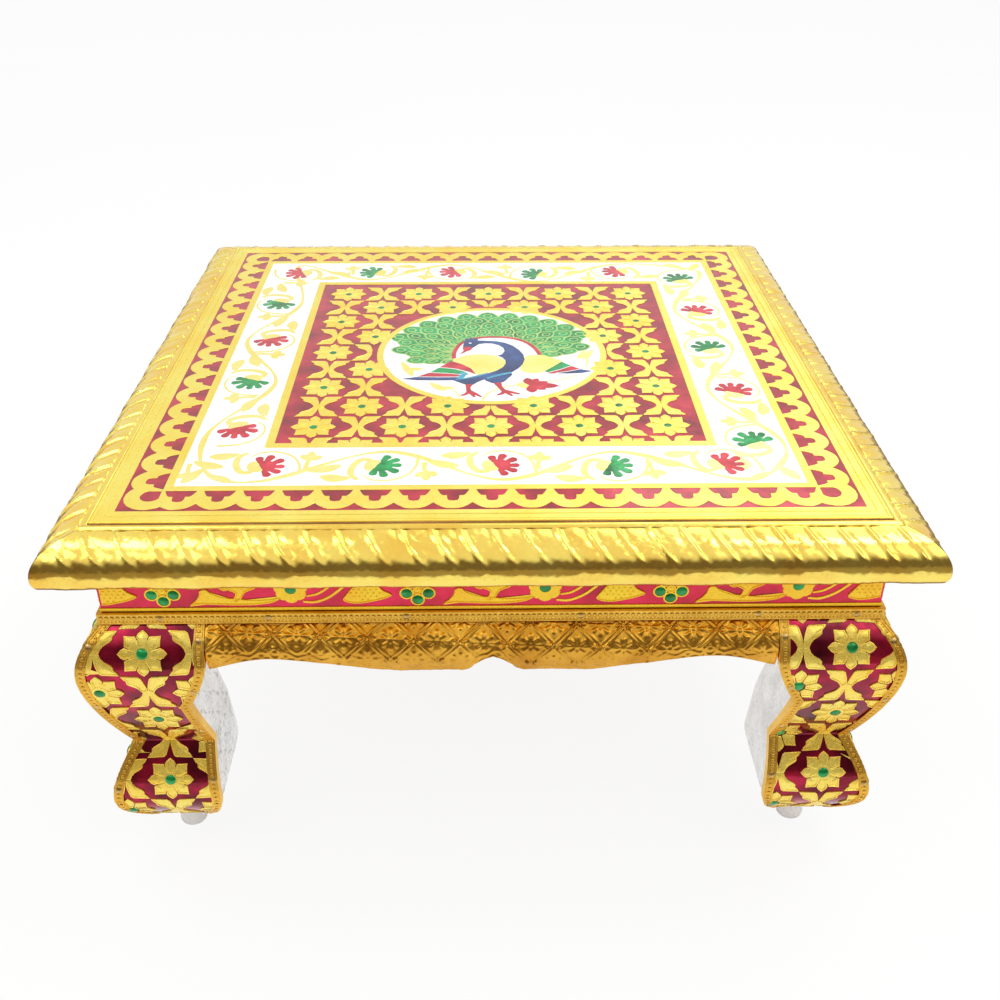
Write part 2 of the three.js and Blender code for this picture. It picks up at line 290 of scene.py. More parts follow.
class Finish:
    """A material and a short way to wire its nodes. Patterns lie on Object coordinates."""

    def __init__(self, name):
        self.material = bpy.data.materials.new(name)
        self.material.use_nodes = True
        self.tree = self.material.node_tree
        self.shader = self.tree.nodes["Principled BSDF"]
        self.place = self.tree.nodes.new("ShaderNodeTexCoord").outputs["Object"]

    def link(self, source, target):
        self.tree.links.new(source, target)

    def stretched(self, scale):
        mapping = self.tree.nodes.new("ShaderNodeMapping")
        mapping.inputs["Scale"].default_value = scale
        self.link(self.place, mapping.inputs["Vector"])
        return mapping.outputs["Vector"]

    def noise(self, scale, detail=2, roughness=0.5, vector=None):
        node = self.tree.nodes.new("ShaderNodeTexNoise")
        node.inputs["Scale"].default_value = scale
        node.inputs["Detail"].default_value = detail
        node.inputs["Roughness"].default_value = roughness
        self.link(vector or self.place, node.inputs["Vector"])
        return node.outputs["Fac"]

    def ramp(self, source, stops):
        node = self.tree.nodes.new("ShaderNodeValToRGB")
        ramp = node.color_ramp
        ramp.elements[0].position, ramp.elements[1].position = stops[0][0], stops[-1][0]
        for place, _ in stops[1:-1]:
            ramp.elements.new(place)
        for element, (_, colour) in zip(ramp.elements, stops):
            element.color = (*colour, 1)
        self.link(source, node.inputs["Fac"])
        return node.outputs["Color"]

    def spread(self, noise, low, high):
        """The middle of a noise's range, spread between two values."""
        node = self.tree.nodes.new("ShaderNodeMapRange")
        for socket, value in (("From Min", 0.3), ("From Max", 0.7), ("To Min", low), ("To Max", high)):
            node.inputs[socket].default_value = value
        self.link(noise, node.inputs["Value"])
        return node.outputs["Result"]

    def bump(self, height, strength, distance, under=None):
        node = self.tree.nodes.new("ShaderNodeBump")
        node.inputs["Strength"].default_value = strength
        node.inputs["Distance"].default_value = distance * MM
        self.link(height, node.inputs["Height"])
        if under is not None:
            self.link(under, node.inputs["Normal"])
        return node.outputs["Normal"]

    def surface(self, color=None, roughness=None, normal=None, **constants):
        for socket, source in (("Base Color", color), ("Roughness", roughness), ("Normal", normal)):
            if source is None:
                continue
            if hasattr(source, "is_linked"):
                self.link(source, self.shader.inputs[socket])
            else:
                self.shader.inputs[socket].default_value = source
        for socket, value in constants.items():
            self.shader.inputs[socket.replace("_", " ")].default_value = value
        return self.material


def gold_finish(name, bright, deep, polish, crumple=0.25, grain=0.15, crumple_size=6, metal=1.0):
    """Gold-coloured foil: thin metal that is never quite flat, a little duller in patches."""
    f = Finish(name)
    tint = f.ramp(f.noise(55, 3), [(0.3, deep), (0.65, bright)])
    rough = f.spread(f.noise(800, 2), polish - 0.07, polish + 0.09)
    bent = f.bump(f.noise(1000 / crumple_size, 2), crumple, 0.5)
    grained = f.bump(f.noise(3200, 1), grain, 0.06, bent)
    return f.surface(tint, rough, grained, Metallic=metal)


def enamel_finish(name, thick, mid, thin, metal, size=14, polish=0.12):
    """Clear lacquer over foil: darker where it lies thick, brighter where it is thin, under a gloss."""
    f = Finish(name)
    pooled = f.noise(1000 / size, 3, 0.55)
    tint = f.ramp(pooled, [(0.3, thick), (0.5, mid), (0.7, thin)])
    rough = f.spread(f.noise(500, 2), polish, polish + 0.1)
    wavy = f.bump(f.noise(220, 2), 0.25, 0.3)
    grained = f.bump(f.noise(1400, 1), 0.1, 0.05, wavy)
    return f.surface(
        tint, rough, grained, Metallic=metal, Coat_Weight=0.4, Coat_Roughness=0.08, Coat_IOR=1.5
    )


top_gold = gold_finish("top_gold", (1.0, 0.86, 0.2), (1.0, 0.76, 0.12), 0.34, 0.2, 0.15)
edge_gold = gold_finish("edge_gold", (1.0, 0.79, 0.17), (0.96, 0.61, 0.1), 0.17, 0.3, 0.1, 9)
frieze_gold = gold_finish(
    "frieze_gold", (1.0, 0.7, 0.03), (1.0, 0.55, 0.02), 0.3, 0.2, 0.06, 3, metal=0.35,
)
strip_gold = gold_finish("strip_gold", (0.96, 0.6, 0.1), (0.76, 0.42, 0.05), 0.36, 0.3, 0.3)
apron_gold = gold_finish("apron_gold", (0.86, 0.47, 0.06), (0.6, 0.27, 0.025), 0.31, 0.35, 0.25)
leg_gold = gold_finish("leg_gold", (1.0, 0.82, 0.17), (0.98, 0.68, 0.09), 0.24, 0.25, 0.12, metal=0.6)
nail_brass = gold_finish("nail_brass", (0.8, 0.56, 0.2), (0.55, 0.34, 0.1), 0.32, 0.1, 0.3)
vine_gold = gold_finish("vine_gold", (1.0, 0.92, 0.38), (1.0, 0.85, 0.24), 0.4, 0.15, 0.15)
top_red = enamel_finish("top_red", (0.22, 0.012, 0.025), (0.42, 0.016, 0.032), (0.62, 0.03, 0.06), 0.45)
deep_red = enamel_finish("deep_red", (0.1, 0.001, 0.012), (0.3, 0.003, 0.03), (0.66, 0.012, 0.07), 0.88)
frieze_red = enamel_finish(
    "frieze_red", (0.38, 0.0, 0.025), (0.64, 0.002, 0.04), (0.84, 0.008, 0.08), 0.5,
)
flower_red = enamel_finish(
    "flower_red", (0.42, 0.01, 0.02), (0.6, 0.02, 0.035), (0.8, 0.05, 0.08), 0.35, 6,
)
green_enamel = enamel_finish(
    "green_enamel", (0.0, 0.11, 0.02), (0.0, 0.25, 0.05), (0.015, 0.45, 0.11), 0.4, 8,
)
feather_green = enamel_finish(
    "feather_green", (0.0, 0.18, 0.04), (0.0, 0.36, 0.08), (0.01, 0.5, 0.14), 0.3, 7,
)
feather_line = enamel_finish(
    "feather_line", (0.36, 0.58, 0.12), (0.48, 0.7, 0.17), (0.6, 0.8, 0.24), 0.4, 6,
)
blue_enamel = enamel_finish(
    "blue_enamel", (0.01, 0.025, 0.1), (0.02, 0.055, 0.2), (0.04, 0.11, 0.34), 0.3, 10,
)
cyan_enamel = enamel_finish(
    "cyan_enamel", (0.02, 0.25, 0.4), (0.05, 0.4, 0.58), (0.15, 0.62, 0.75), 0.3, 8,
)


def white_finish():
    f = Finish("white_enamel")
    tint = f.ramp(f.noise(40, 3), [(0.3, (0.9, 0.895, 0.88)), (0.7, (0.95, 0.95, 0.945))])
    wavy = f.bump(f.noise(200, 2), 0.15, 0.25)
    rough = f.spread(f.noise(400, 2), 0.16, 0.28)
    return f.surface(tint, rough, wavy, Coat_Weight=0.5, Coat_Roughness=0.08)


def wood_finish():
    f = Finish("mango_wood")
    rings = f.noise(26, 4, 0.6, f.stretched((1.0, 9.0, 9.0)))
    fibres = f.noise(420, 3, 0.7, f.stretched((0.08, 1.0, 1.0)))
    tint = f.ramp(
        rings, [(0.32, (0.3, 0.17, 0.08)), (0.5, (0.5, 0.31, 0.16)), (0.68, (0.62, 0.42, 0.24))],
    )
    rough = f.spread(fibres, 0.6, 0.85)
    grain = f.bump(fibres, 0.35, 0.15)
    return f.surface(tint, rough, f.bump(rings, 0.2, 0.3, grain))


def silver_finish():
    f = Finish("white_metal")
    tint = f.ramp(f.noise(90, 3), [(0.3, (0.74, 0.73, 0.71)), (0.7, (0.93, 0.92, 0.9))])
    rough = f.spread(f.noise(700, 2), 0.25, 0.45)
    bent = f.bump(f.noise(260, 3), 0.5, 0.5)
    return f.surface(tint, rough, f.bump(f.noise(2600, 1), 0.3, 0.08, bent), Metallic=1.0)


def plastic_finish():
    f = Finish("bush_plastic")
    tint = f.ramp(f.noise(120, 3), [(0.3, (0.86, 0.855, 0.84)), (0.7, (0.94, 0.935, 0.925))])
    rough = f.spread(f.noise(900, 2), 0.35, 0.5)
    grain = f.bump(f.noise(1500, 2), 0.15, 0.08)
    # Light goes about 12 mm deep into the plastic
    depth = {"Subsurface_Weight": 0.7, "Subsurface_Radius": (0.012,) * 3, "Subsurface_Scale": 1.0}
    return f.surface(tint, rough, grain, **depth)


def steel_finish():
    f = Finish("screw_steel")
    tint = f.ramp(f.noise(300, 3), [(0.3, (0.42, 0.41, 0.39)), (0.7, (0.6, 0.59, 0.57))])
    rough = f.spread(f.noise(900, 2), 0.3, 0.5)
    return f.surface(tint, rough, f.bump(f.noise(1800, 2), 0.2, 0.06), Metallic=1.0)


white_enamel = white_finish()
wood = wood_finish()
silver = silver_finish()
bush_white = plastic_finish()
screw_steel = steel_finish()


# Camera, light and floor


def put_camera():
    """The camera, at the place and angle that were fitted to the square lines of the top."""
    forward = Vector(
        (
            math.sin(look_right) * math.cos(look_down),
            math.cos(look_right) * math.cos(look_down),
            -math.sin(look_down),
        )
    )
    right = Vector((math.cos(look_right), -math.sin(look_right), 0))
    up = right.cross(forward)
    across = math.cos(lean) * right + math.sin(lean) * up
    upward = -math.sin(lean) * right + math.cos(lean) * up
    data = bpy.data.cameras.new("camera")
    data.sensor_fit = "HORIZONTAL"
    data.sensor_width = 36
    data.lens = camera_lens
    data.clip_start = 0.01
    camera = bpy.data.objects.new("camera", data)
    scene.collection.objects.link(camera)
    turn = Matrix((across, upward, -forward)).transposed()
    camera.matrix_world = Matrix.Translation(Vector(camera_place) * MM) @ turn.to_4x4()
    scene.camera = camera


def soft_lamp(name, place, size, power):
    """A square soft lamp, in metres, that faces the table."""
    data = bpy.data.lights.new(name, "AREA")
    data.shape = "SQUARE"
    data.size = size
    data.energy = power
    lamp = bpy.data.objects.new(name, data)
    scene.collection.objects.link(lamp)
    lamp.location = place
    lamp.rotation_euler = (Vector((0, 0, 0.1)) - Vector(place)).to_track_quat("-Z", "Y").to_euler()
    return lamp


def cloth_finish():
    f = Finish("brown_cloth")
    tint = f.ramp(f.noise(9, 3), [(0.3, (0.2, 0.15, 0.1)), (0.7, (0.3, 0.24, 0.17))])
    return f.surface(tint, 0.9, f.bump(f.noise(300, 2), 0.2, 0.5))


def math_node(tree, operation, first, second):
    """A node that joins two values, each the output of a node or a number."""
    node = tree.nodes.new("ShaderNodeMath")
    node.operation = operation
    for socket, value in zip(node.inputs, (first, second)):
        if hasattr(value, "is_linked"):
            tree.links.new(value, socket)
        else:
            socket.default_value = value
    return node.outputs[0]


def send_mixed(tree, share, first, second, output):
    """Two shaders, mixed by a share, sent to the tree's output."""
    mix = tree.nodes.new("ShaderNodeMixShader")
    for source, socket in zip((share, first, second), mix.inputs):
        tree.links.new(source, socket)
    tree.links.new(mix.outputs[0], tree.nodes[output].inputs["Surface"])


def floor_finish():
    """White paper, which the camera and what mirrors it see part of the way to plain white."""
    f = Finish("floor_white")
    tint = f.ramp(f.noise(4, 2), [(0.3, (0.9, 0.9, 0.9)), (0.7, (0.92, 0.92, 0.92))])
    f.surface(tint, 0.9)
    path = f.tree.nodes.new("ShaderNodeLightPath")
    seen = math_node(f.tree, "MAXIMUM", path.outputs["Is Camera Ray"], path.outputs["Is Glossy Ray"])
    share = math_node(f.tree, "MULTIPLY", seen, 0.88)
    white = f.tree.nodes.new("ShaderNodeEmission").outputs["Emission"]
    send_mixed(f.tree, share, f.shader.outputs["BSDF"], white, "Material Output")
    return f.material


def put_stage():
    bpy.ops.mesh.primitive_plane_add(size=16)
    floor = bpy.context.object
    floor.name = "floor"
    floor.data.materials.append(floor_finish())
    # Cloths on the floor in front, left and right, which the camera doesn't see and the metal mirrors
    cloth_brown = cloth_finish()
    for name, place, size in (
        ("brown_cloth", (0, -4.1, 0.002), (6.0, 7.4)),
        ("dim_floor", (-1.17, 0.65, 0.003), (2.0, 1.6)),
        ("dim_floor", (1.17, 0.65, 0.003), (2.0, 1.6)),
    ):
        bpy.ops.mesh.primitive_plane_add(size=1)
        cloth = bpy.context.object
        cloth.name = name
        cloth.data.transform(Matrix.Translation(place) @ Matrix.Diagonal((*size, 1, 1)))
        cloth.data.materials.append(cloth_brown)
        cloth.visible_camera = False
        cloth.visible_diffuse = False
        cloth.visible_shadow = False


def put_light():
    """A pale room that is darker low in front, and soft lamps."""
    world = bpy.data.worlds.new("studio")
    world.use_nodes = True
    scene.world = world
    tree = world.node_tree
    place = tree.nodes.new("ShaderNodeTexCoord").outputs["Generated"]
    split = tree.nodes.new("ShaderNodeSeparateXYZ")
    tree.links.new(place, split.inputs["Vector"])
    parts = []
    for socket, start, end in (("Z", 0.46, 0.74), ("Y", -0.45, 0.2)):
        part = tree.nodes.new("ShaderNodeMapRange")
        part.interpolation_type = "SMOOTHSTEP"
        part.inputs["From Min"].default_value = start
        part.inputs["From Max"].default_value = end
        tree.links.new(split.outputs[socket], part.inputs["Value"])
        parts.append(part.outputs["Result"])
    most = math_node(tree, "MAXIMUM", *parts)
    ramp = tree.nodes.new("ShaderNodeValToRGB")
    ramp.color_ramp.elements[0].color = (0.17, 0.135, 0.11, 1)
    ramp.color_ramp.elements[1].color = (0.95, 0.95, 0.95, 1)
    tree.links.new(most, ramp.inputs["Fac"])
    background = tree.nodes["Background"]
    tree.links.new(ramp.outputs["Color"], background.inputs["Color"])
    background.inputs["Strength"].default_value = 0.95
    white = tree.nodes.new("ShaderNodeBackground")
    white.inputs["Color"].default_value = (1, 1, 1, 1)
    seen = tree.nodes.new("ShaderNodeLightPath").outputs["Is Camera Ray"]
    send_mixed(tree, seen, background.outputs[0], white.outputs[0], "World Output")
    soft_lamp("left_window", (-0.8, -0.62, 1.2), 0.6, 1.7)
    soft_lamp("right_window", (0.82, -0.62, 1.2), 0.8, 2.1)
    soft_lamp("back_lamp", (0.5, 0.9, 1.3), 0.9, 3.4)
    # Two small ones, whose glare lies near both ends of the front moulding
    soft_lamp("left_glare", (-0.52, 0.08, 1.2), 0.36, 1.6)
    soft_lamp("right_glare", (0.52, 0.08, 1.2), 0.38, 2.6)
    # A wide one low in front, which lights the enamel and plastic and isn't mirrored
    low_fill = soft_lamp("low_fill", (0, -1.5, 0.35), 1.0, 5.5)
    low_fill.visible_glossy = False


scene.view_settings.view_transform = "Standard"
put_camera()
put_stage()
put_light()


# Top: grounds and bands

# Half widths of the bands, from the outside in, and heights
margin_half = 128.8
red_band_half = 129.2
line_outer = 115.6
line_inner = 112.5
white_half = 113.0
field_frame_outer = 85.0
field_frame_inner = 81.7
field_half = 82.2
medallion_x = 1.0
ring_radius = 50.4
disc_radius = 47.9
ground_top = 154.3
enamel_top = 154.4
disc_top = enamel_top + 0.03
figure_floor = 154.32


def square_sheet(half, low, high):
    """A plain square sheet between two heights."""
    nothing_selected()
    bpy.ops.mesh.primitive_plane_add(size=2 * half * MM)
    piece = bpy.context.object
    edit(piece)
    bpy.ops.transform.translate(value=(0, 0, low * MM))
    pull(0, 0, high - low)
    leave()
    return piece


def square_band(outer, inner, low, high, rim):
    """A flat square frame, pulled up, with slanted edges."""
    nothing_selected()
    bpy.ops.mesh.primitive_plane_add(size=2 * outer * MM)
    piece = bpy.context.object
    edit(piece)
    bpy.ops.mesh.inset(thickness=(outer - inner) * MM)
    bpy.ops.mesh.delete(type="FACE")
    leave()
    return pulled_up(piece, low, high, rim)


def round_band(outer, inner, low, high, rim, segments=96):
    """A flat ring, pulled up, with slanted edges."""
    nothing_selected()
    bpy.ops.mesh.primitive_circle_add(vertices=segments, radius=outer * MM, fill_type="NGON")
    piece = bpy.context.object
    edit(piece)
    bpy.ops.mesh.inset(thickness=(outer - inner) * MM)
    bpy.ops.mesh.delete(type="FACE")
    leave()
    return pulled_up(piece, low, high, rim)


top_ground = joined([square_sheet(flat_half, sheet_floor, ground_top)], "top_ground")
done(top_ground, top_gold, ["enamelled_top_sheet"])

enamel_foot = ground_top - 0.05
red_parts = [
    square_band(red_band_half, 115.0, enamel_foot, enamel_top, 0),
    square_sheet(field_half, enamel_foot, enamel_top),
]
done(joined(red_parts, "top_red_ground"), top_red)

white_parts = [
    square_band(white_half, 84.0, enamel_foot, enamel_top + 0.02, 0),
    pulled_up(outlined(round_points(disc_radius, 96, medallion_x)), ground_top, disc_top, 0),
]
done(joined(white_parts, "top_white_ground"), white_enamel)

# From the outside in: three bands of the margin, the line inside the swags, the field's frame and the
# medallion's ring
band_parts = [
    square_band(flat_half, 134.6, figure_floor, top_face, 0.12),
    square_band(134.3, 131.6, figure_floor, top_face - 0.06, 0.12),
    square_band(131.4, margin_half, figure_floor, top_face, 0.12),
    square_band(line_outer, line_inner, figure_floor, top_face, 0.12),
    square_band(field_frame_outer, field_frame_inner, figure_floor, top_face, 0.12),
    round_band(ring_radius, disc_radius - 0.3, figure_floor, top_face, 0.14),
]
band_parts[-1].data.transform(moved(medallion_x))
done(joined(band_parts, "top_gold_bands"), top_gold)

# Top: ribbon of swags in the red band

swag_count = 17
swag_corner = 115.8
swag_pitch = 2 * swag_corner / swag_count
swag_cusp = 124.1
swag_low = 128.0


def swag_side():
    """One side's ribbon, as two edges with a point each at the same place along it."""
    outer, inner = [], []
    # Inner edge of one swag: share of its pitch, and distance from the table's centre
    hollow = [
        (-0.5, 115.4), (-0.42, 115.4), (-0.385, 116.6), (-0.34, 118.2), (-0.29, 119.3), (-0.25, 119.6),
        (-0.16, 119.6), (-0.15, 121.6), (-0.11, 122.8), (0.0, 123.1),
    ]
    hollow = hollow + [(-u, v) for u, v in hollow[-2::-1]]
    for k in range(swag_count):
        middle = -swag_corner + swag_pitch * (k + 0.5)
        for u, v in hollow[:-1] if k < swag_count - 1 else hollow:
            x = middle + u * swag_pitch
            outer.append((x, swag_low - (swag_low - swag_cusp) * abs(2 * u) ** 2.2))
            inner.append((x, v))
    return outer, inner


def corner_swag():
    """The round ribbon that turns the corner, drawn at the right end of the back."""
    outer, inner = [], []
    for k in range(13):
        angle = math.radians(150 - k * 17.5)
        swell = 8.4 + 0.5 * math.sin(math.radians(k * 15))
        outer.append((119.2 + swell * math.cos(angle), 119.2 + swell * math.sin(angle)))
        inner.append((119.0 + 3.6 * math.cos(angle), 119.0 + 3.6 * math.sin(angle)))
    return outer, inner


swag_outer, swag_inner = swag_side()
straight = pulled_up(laid_strip(swag_inner, swag_outer), figure_floor, top_face - 0.012, 0.1)
corner_outer, corner_inner = corner_swag()
corner = pulled_up(laid_strip(corner_inner, corner_outer), figure_floor, top_face - 0.024, 0.1)
ribbon = copied(joined([straight, corner], "swag_ribbon"), quarter_turns, "swag_ribbon")
done(faces_outward(ribbon), top_gold)

# Flowers and crosses

cell = 17.2
tip_petal = [
    (2.7, -0.9), (5.2, -1.75), (6.3, -2.15), (7.5, -1.5), (8.8, 0), (7.5, 1.5), (6.3, 2.15),
    (5.2, 1.75), (2.7, 0.9),
]
corner_petal = [
    (2.55, 1.3), (5.35, 2.15), (6.35, 2.6), (6.35, 4.4), (6.55, 6.55), (4.4, 6.35), (2.6, 6.35),
    (2.15, 5.35), (1.3, 2.55),
]
cross_leaf = [
    (0.1, 0.1), (0.12, 2.6), (0.5, 4.3), (1.05, 6.2), (1.5, 7.6), (2.4, 8.3), (4.2, 8.35), (6.4, 8.5),
    (8.55, 8.55), (7.7, 7.1), (6.9, 6.4), (6.85, 5.1), (6.1, 4.3), (4.9, 3.6), (3.8, 2.9), (2.7, 1.6),
    (2.1, 0.1),
]
mirrors = [Matrix.Diagonal((x, y, 1, 1)) for x in (1, -1) for y in (1, -1)]


def embossed_petal(points, height, wire, hollow, ridge):
    """A petal with a raised wire round it, hollow inside, with a ridge along its middle."""
    piece = outlined(points)
    edit(piece)
    pull(0, 0, height)
    bpy.ops.mesh.inset(thickness=0.2 * wire * MM, depth=0.12 * wire * MM)
    bpy.ops.mesh.inset(thickness=0.6 * wire * MM)
    bpy.ops.mesh.inset(thickness=0.3 * wire * MM, depth=-hollow * MM)
    bpy.ops.mesh.poke(offset=ridge * MM)
    leave()
    return piece


def flower_petals(height, wire, hollow, ridge):
    tip = copied(embossed_petal(tip_petal, height, wire, hollow, ridge), quarter_turns, "tips")
    square = copied(embossed_petal(corner_petal, height, wire, hollow, ridge), quarter_turns, "corners")
    return joined([tip, square], "flower")


def cross_leaves(height, wire, hollow, ridge):
    return copied(embossed_petal(cross_leaf, height, wire, hollow, ridge), mirrors, "cross")


def flower_ring(height):
    """The ring round the bead, on a plate that fills the gaps between the petals."""
    plate = pulled_up(outlined(round_points(5.3, 16)), 0, 0.6 * height, 0.05)
    return joined([round_band(3.1, 1.95, 0, height, 0.1, 16), plate], "ring")


def cross_knot(height):
    return pulled_up(outlined(round_points(2.0, 12, tall=1.6)), 0, height, 0.1)


def green_bead(radius, height, segments=14, rings=8):
    """A low dome of enamel."""
    nothing_selected()
    bpy.ops.mesh.primitive_uv_sphere_add(segments=segments, ring_count=rings, radius=radius * MM)
    piece = bpy.context.object
    edit(piece)
    bpy.ops.mesh.bisect(plane_co=(0, 0, 0), plane_no=(0, 0, 1), use_fill=True, clear_inner=True)
    bpy.ops.mesh.select_all(action="SELECT")
    bpy.ops.transform.resize(value=(1, 1, height / radius), center_override=(0, 0, 0))
    leave()
    return smooth(piece, 50)


def on_field(figure, places, name):
    return copied(figure, [moved(x, y, figure_floor) for x, y in places], name)


# Flowers and crosses take turns, and those that the medallion's ring would touch are left out
flower_places, cross_places = [], []
for i in range(-4, 5):
    for j in range(-5, 5):
        x, y = i * cell, j * cell
        if math.hypot(x, y) > ring_radius + 2.9:
            (cross_places if (i + j) % 2 else flower_places).append((x, y))

top_flower = joined([flower_petals(0.235, 0.36, 0.12, 0.09), flower_ring(0.275)], "top_flower")
top_cross = joined([cross_leaves(0.235, 0.34, 0.1, 0.07), cross_knot(0.27)], "top_cross")
# Where the medallion's ring covers half a cross, its two outward leaves: cell and the mirrors to use
covered_crosses = ((0, -3, (1, 3)), (0, 3, (0, 2)), (3, 0, (0, 1)), (-3, 0, (2, 3)))
outward_leaves = copied(
    embossed_petal(cross_leaf, 0.235, 0.34, 0.1, 0.07),
    [
        moved(i * cell, j * cell, figure_floor) @ mirrors[k]
        for i, j, pair in covered_crosses
        for k in pair
    ],
    "outward_leaves",
)
for figures in (
    on_field(top_flower, flower_places, "field_flowers"),
    joined([on_field(top_cross, cross_places, "field_crosses"), outward_leaves], "field_crosses"),
):
    edit(figures)
    bpy.ops.mesh.bisect(
        plane_co=(0, -field_half * MM, 0), plane_no=(0, -1, 0), use_fill=True, clear_outer=True,
    )
    leave()
    done(faces_outward(figures), top_gold)
bead_places = [(x, y) for x, y in flower_places if y > -80]
field_beads = on_field(green_bead(2.05, 0.26), bead_places, "field_beads")
done(faces_outward(field_beads), green_enamel)

# Top: vine in the white border


# Leaves and petals: shares of their length, and how wide they are there
plain_leaf = ((0, 0.25), (0.2, 0.65), (0.5, 1.0), (0.75, 0.85), (0.92, 0.4))
finger = ((0, 0.45), (0.3, 0.7), (0.6, 0.95), (0.8, 1.0), (0.93, 0.7))
round_petal = ((0, 0.4), (0.3, 0.75), (0.6, 1.0), (0.82, 0.85), (0.95, 0.4))


def leaf(base, tip, width, shares=plain_leaf, bend=0.0):
    """The outline of a leaf or petal from its base to its tip."""
    (x0, y0), (x1, y1) = base, tip
    dx, dy = x1 - x0, y1 - y0
    size = math.hypot(dx, dy)
    nx, ny = -dy / size, dx / size
    left, right = [], []
    for along, share in shares:
        bow = bend * 4 * along * (1 - along)
        half = share * width / 2
        left.append((x0 + dx * along + nx * (half + bow), y0 + dy * along + ny * (half + bow)))
        right.append((x0 + dx * along - nx * (half - bow), y0 + dy * along - ny * (half - bow)))
    return left + [tip] + right[::-1]


# Flowers: place to the right and to the back, and whether the vine passes outside
border_flowers = {
    "front": [(-81.5, -98.5, 1), (-39, -99, -1), (4, -98.5, 1), (45.5, -100, -1), (86.5, -98.5, 1)],
    "right": [(99.5, -80.5, 1), (100.5, -38, -1), (97.5, 5, 1), (99.5, 47, -1), (97, 89.5, 1)],
    "back": [(65, 99, 1), (23, 96, -1), (-19, 99, 1), (-60, 99, -1), (-98, 98, 1)],
    "left": [(-101, 56, -1), (-98, 13, 1), (-100, -29.5, -1), (-97.5, -71.5, 1)],
}
# Ways that the vine goes along each side, and outwards from it
travel = {
    "front": ((1, 0), (0, -1)), "right": ((0, 1), (1, 0)), "back": ((-1, 0), (0, 1)),
    "left": ((0, -1), (-1, 0)),
}
# A flower, drawn along the vine and outwards: tips and widths of its fingers, its core and its calyx
flower_fingers = [
    ((-4.2, -6.6), 3.0), ((0.6, -7.8), 3.1), ((5.2, -4.6), 3.1), ((6.2, 0.4), 2.6), ((5.2, 4.8), 2.8),
    ((1.2, 7.6), 3.0),
]
flower_core = [(-3.7, -2.9), (-1, -3.7), (2.0, -2.4), (3.1, 0.3), (2.1, 3.1), (-0.4, 4.0), (-2.5, 1.3)]
flower_calyx = [
    (-7.6, 0.4), (-6.8, -2.6), (-4.2, -3.2), (-2.2, -0.6), (-1.4, 2.6), (-3.4, 4.4), (-6.4, 3.4),
]

vine_parts, red_parts, green_parts = [], [], []
vine_line = []
vine_low, vine_high = enamel_top, 154.49
calyx_high, core_high, petal_high = 154.522, 154.536, 154.54
corner_reach = 104.5


def lapped(high):
    """Heights a hair apart, so that no two pieces of the vine share a face."""
    return high + 0.0009 * (len(vine_parts) % 47)


def vine_stroke(points, widths):
    vine_parts.append(pulled_up(stroked(points, widths), vine_low, lapped(vine_high), 0.04))


def vine_leaf(base, tip, width, bend=0.0):
    shape = outlined(rounded(leaf(base, tip, width, bend=bend), 2))
    vine_parts.append(pulled_up(shape, vine_low, lapped(vine_high), 0.04))


for side, flowers in border_flowers.items():
    (ux, uy), (vx, vy) = travel[side]
    for n, (x, y, way) in enumerate(flowers):

        def at(u, v):
            return (x + ux * u + vx * v * way, y + uy * u + vy * v * way)

        def line(*points):
            return [at(u, v) for u, v in points]

        vine_line.append(at(0, 10.6))
        # The first flowers of two sides follow a corner's leaves, and have none behind them
        behind = not (n == 0 and side in ("right", "back"))
        vine_stroke(
            line((12, 5.5), (11.2, -1), (8, -7), (2, -10.2), (-4, -9.6), (-7, -6.6)),
            [1.4, 1.0, 0.9, 0.9, 0.8, 0.5],
        )
        vine_stroke(
            line((-9, -9.5), (-11.8, -6), (-11.6, 0), (-8.8, 4.6), (-5, 4.2)),
            [1.4, 2.3, 2.6, 2.4, 2.0],
        )
        vine_leaf(at(-12, -8.6), at(-22.8, -7.0), 5.0, 0.8)
        if behind:
            vine_leaf(at(-27.4, -3.4), at(-15.8, 0.8), 4.8, -0.8)
            vine_stroke(line((-28.5, -2), (-28.6, 2), (-27.8, 5.6)), [2.0, 1.7, 1.7])
            for tip in ((-31.5, 8.2), (-27.6, 11), (-23.6, 7.4)):
                vine_leaf(at(-27.8, 4.8), at(*tip), 3.3)
        petals = green_parts if (way < 0) != (side == "right") else red_parts
        for k, (tip, width) in enumerate(flower_fingers):
            start = at(0.35 * tip[0] - 1.6, 0.35 * tip[1] + 0.6)
            petal = outlined(rounded(leaf(start, at(*tip), width, finger), 2))
            petals.append(pulled_up(petal, enamel_top, petal_high + 0.008 * k, 0.06))
        core = outlined(rounded(line(*flower_core), 3))
        petals.append(pulled_up(core, enamel_top, core_high, 0.06))
        calyx = outlined(rounded(line(*flower_calyx), 3))
        vine_parts.append(pulled_up(calyx, vine_low, calyx_high, 0.04))

# The vine's stem, once round the border, with a leaf or two in each outer corner
bends = []
for k, point in enumerate(vine_line):
    bends.append(point)
    if k in (4, 9, 18):
        corner_x = corner_reach * math.copysign(1, point[0])
        corner_y = corner_reach * math.copysign(1, point[1])
        bends.append((0.985 * corner_x, 0.985 * corner_y) if k != 9 else (103.0, 103.0))
stem = smoothed([bends[-1], *bends, bends[0], bends[1]], 8)
stem = stem[8 : 8 + 8 * len(bends) + 1]
stem = stem[::2]
vine_stroke(stem, [1.75 + 0.75 * math.sin(1.57 * k) for k in range(len(stem))])
for sx, sy in ((1, -1), (1, 1), (-1, -1)):
    vine_leaf((104.6 * sx, 100.5 * sy), (110.4 * sx, 110.4 * sy), 4.6)
    vine_leaf((101.0 * sx, 105.0 * sy), (92.5 * sx, 110.2 * sy), 3.8)

done(faces_outward(joined(vine_parts, "border_vine")), vine_gold)
done(faces_outward(joined(red_parts, "border_red_flowers")), flower_red)
done(faces_outward(joined(green_parts, "border_green_flowers")), green_enamel)

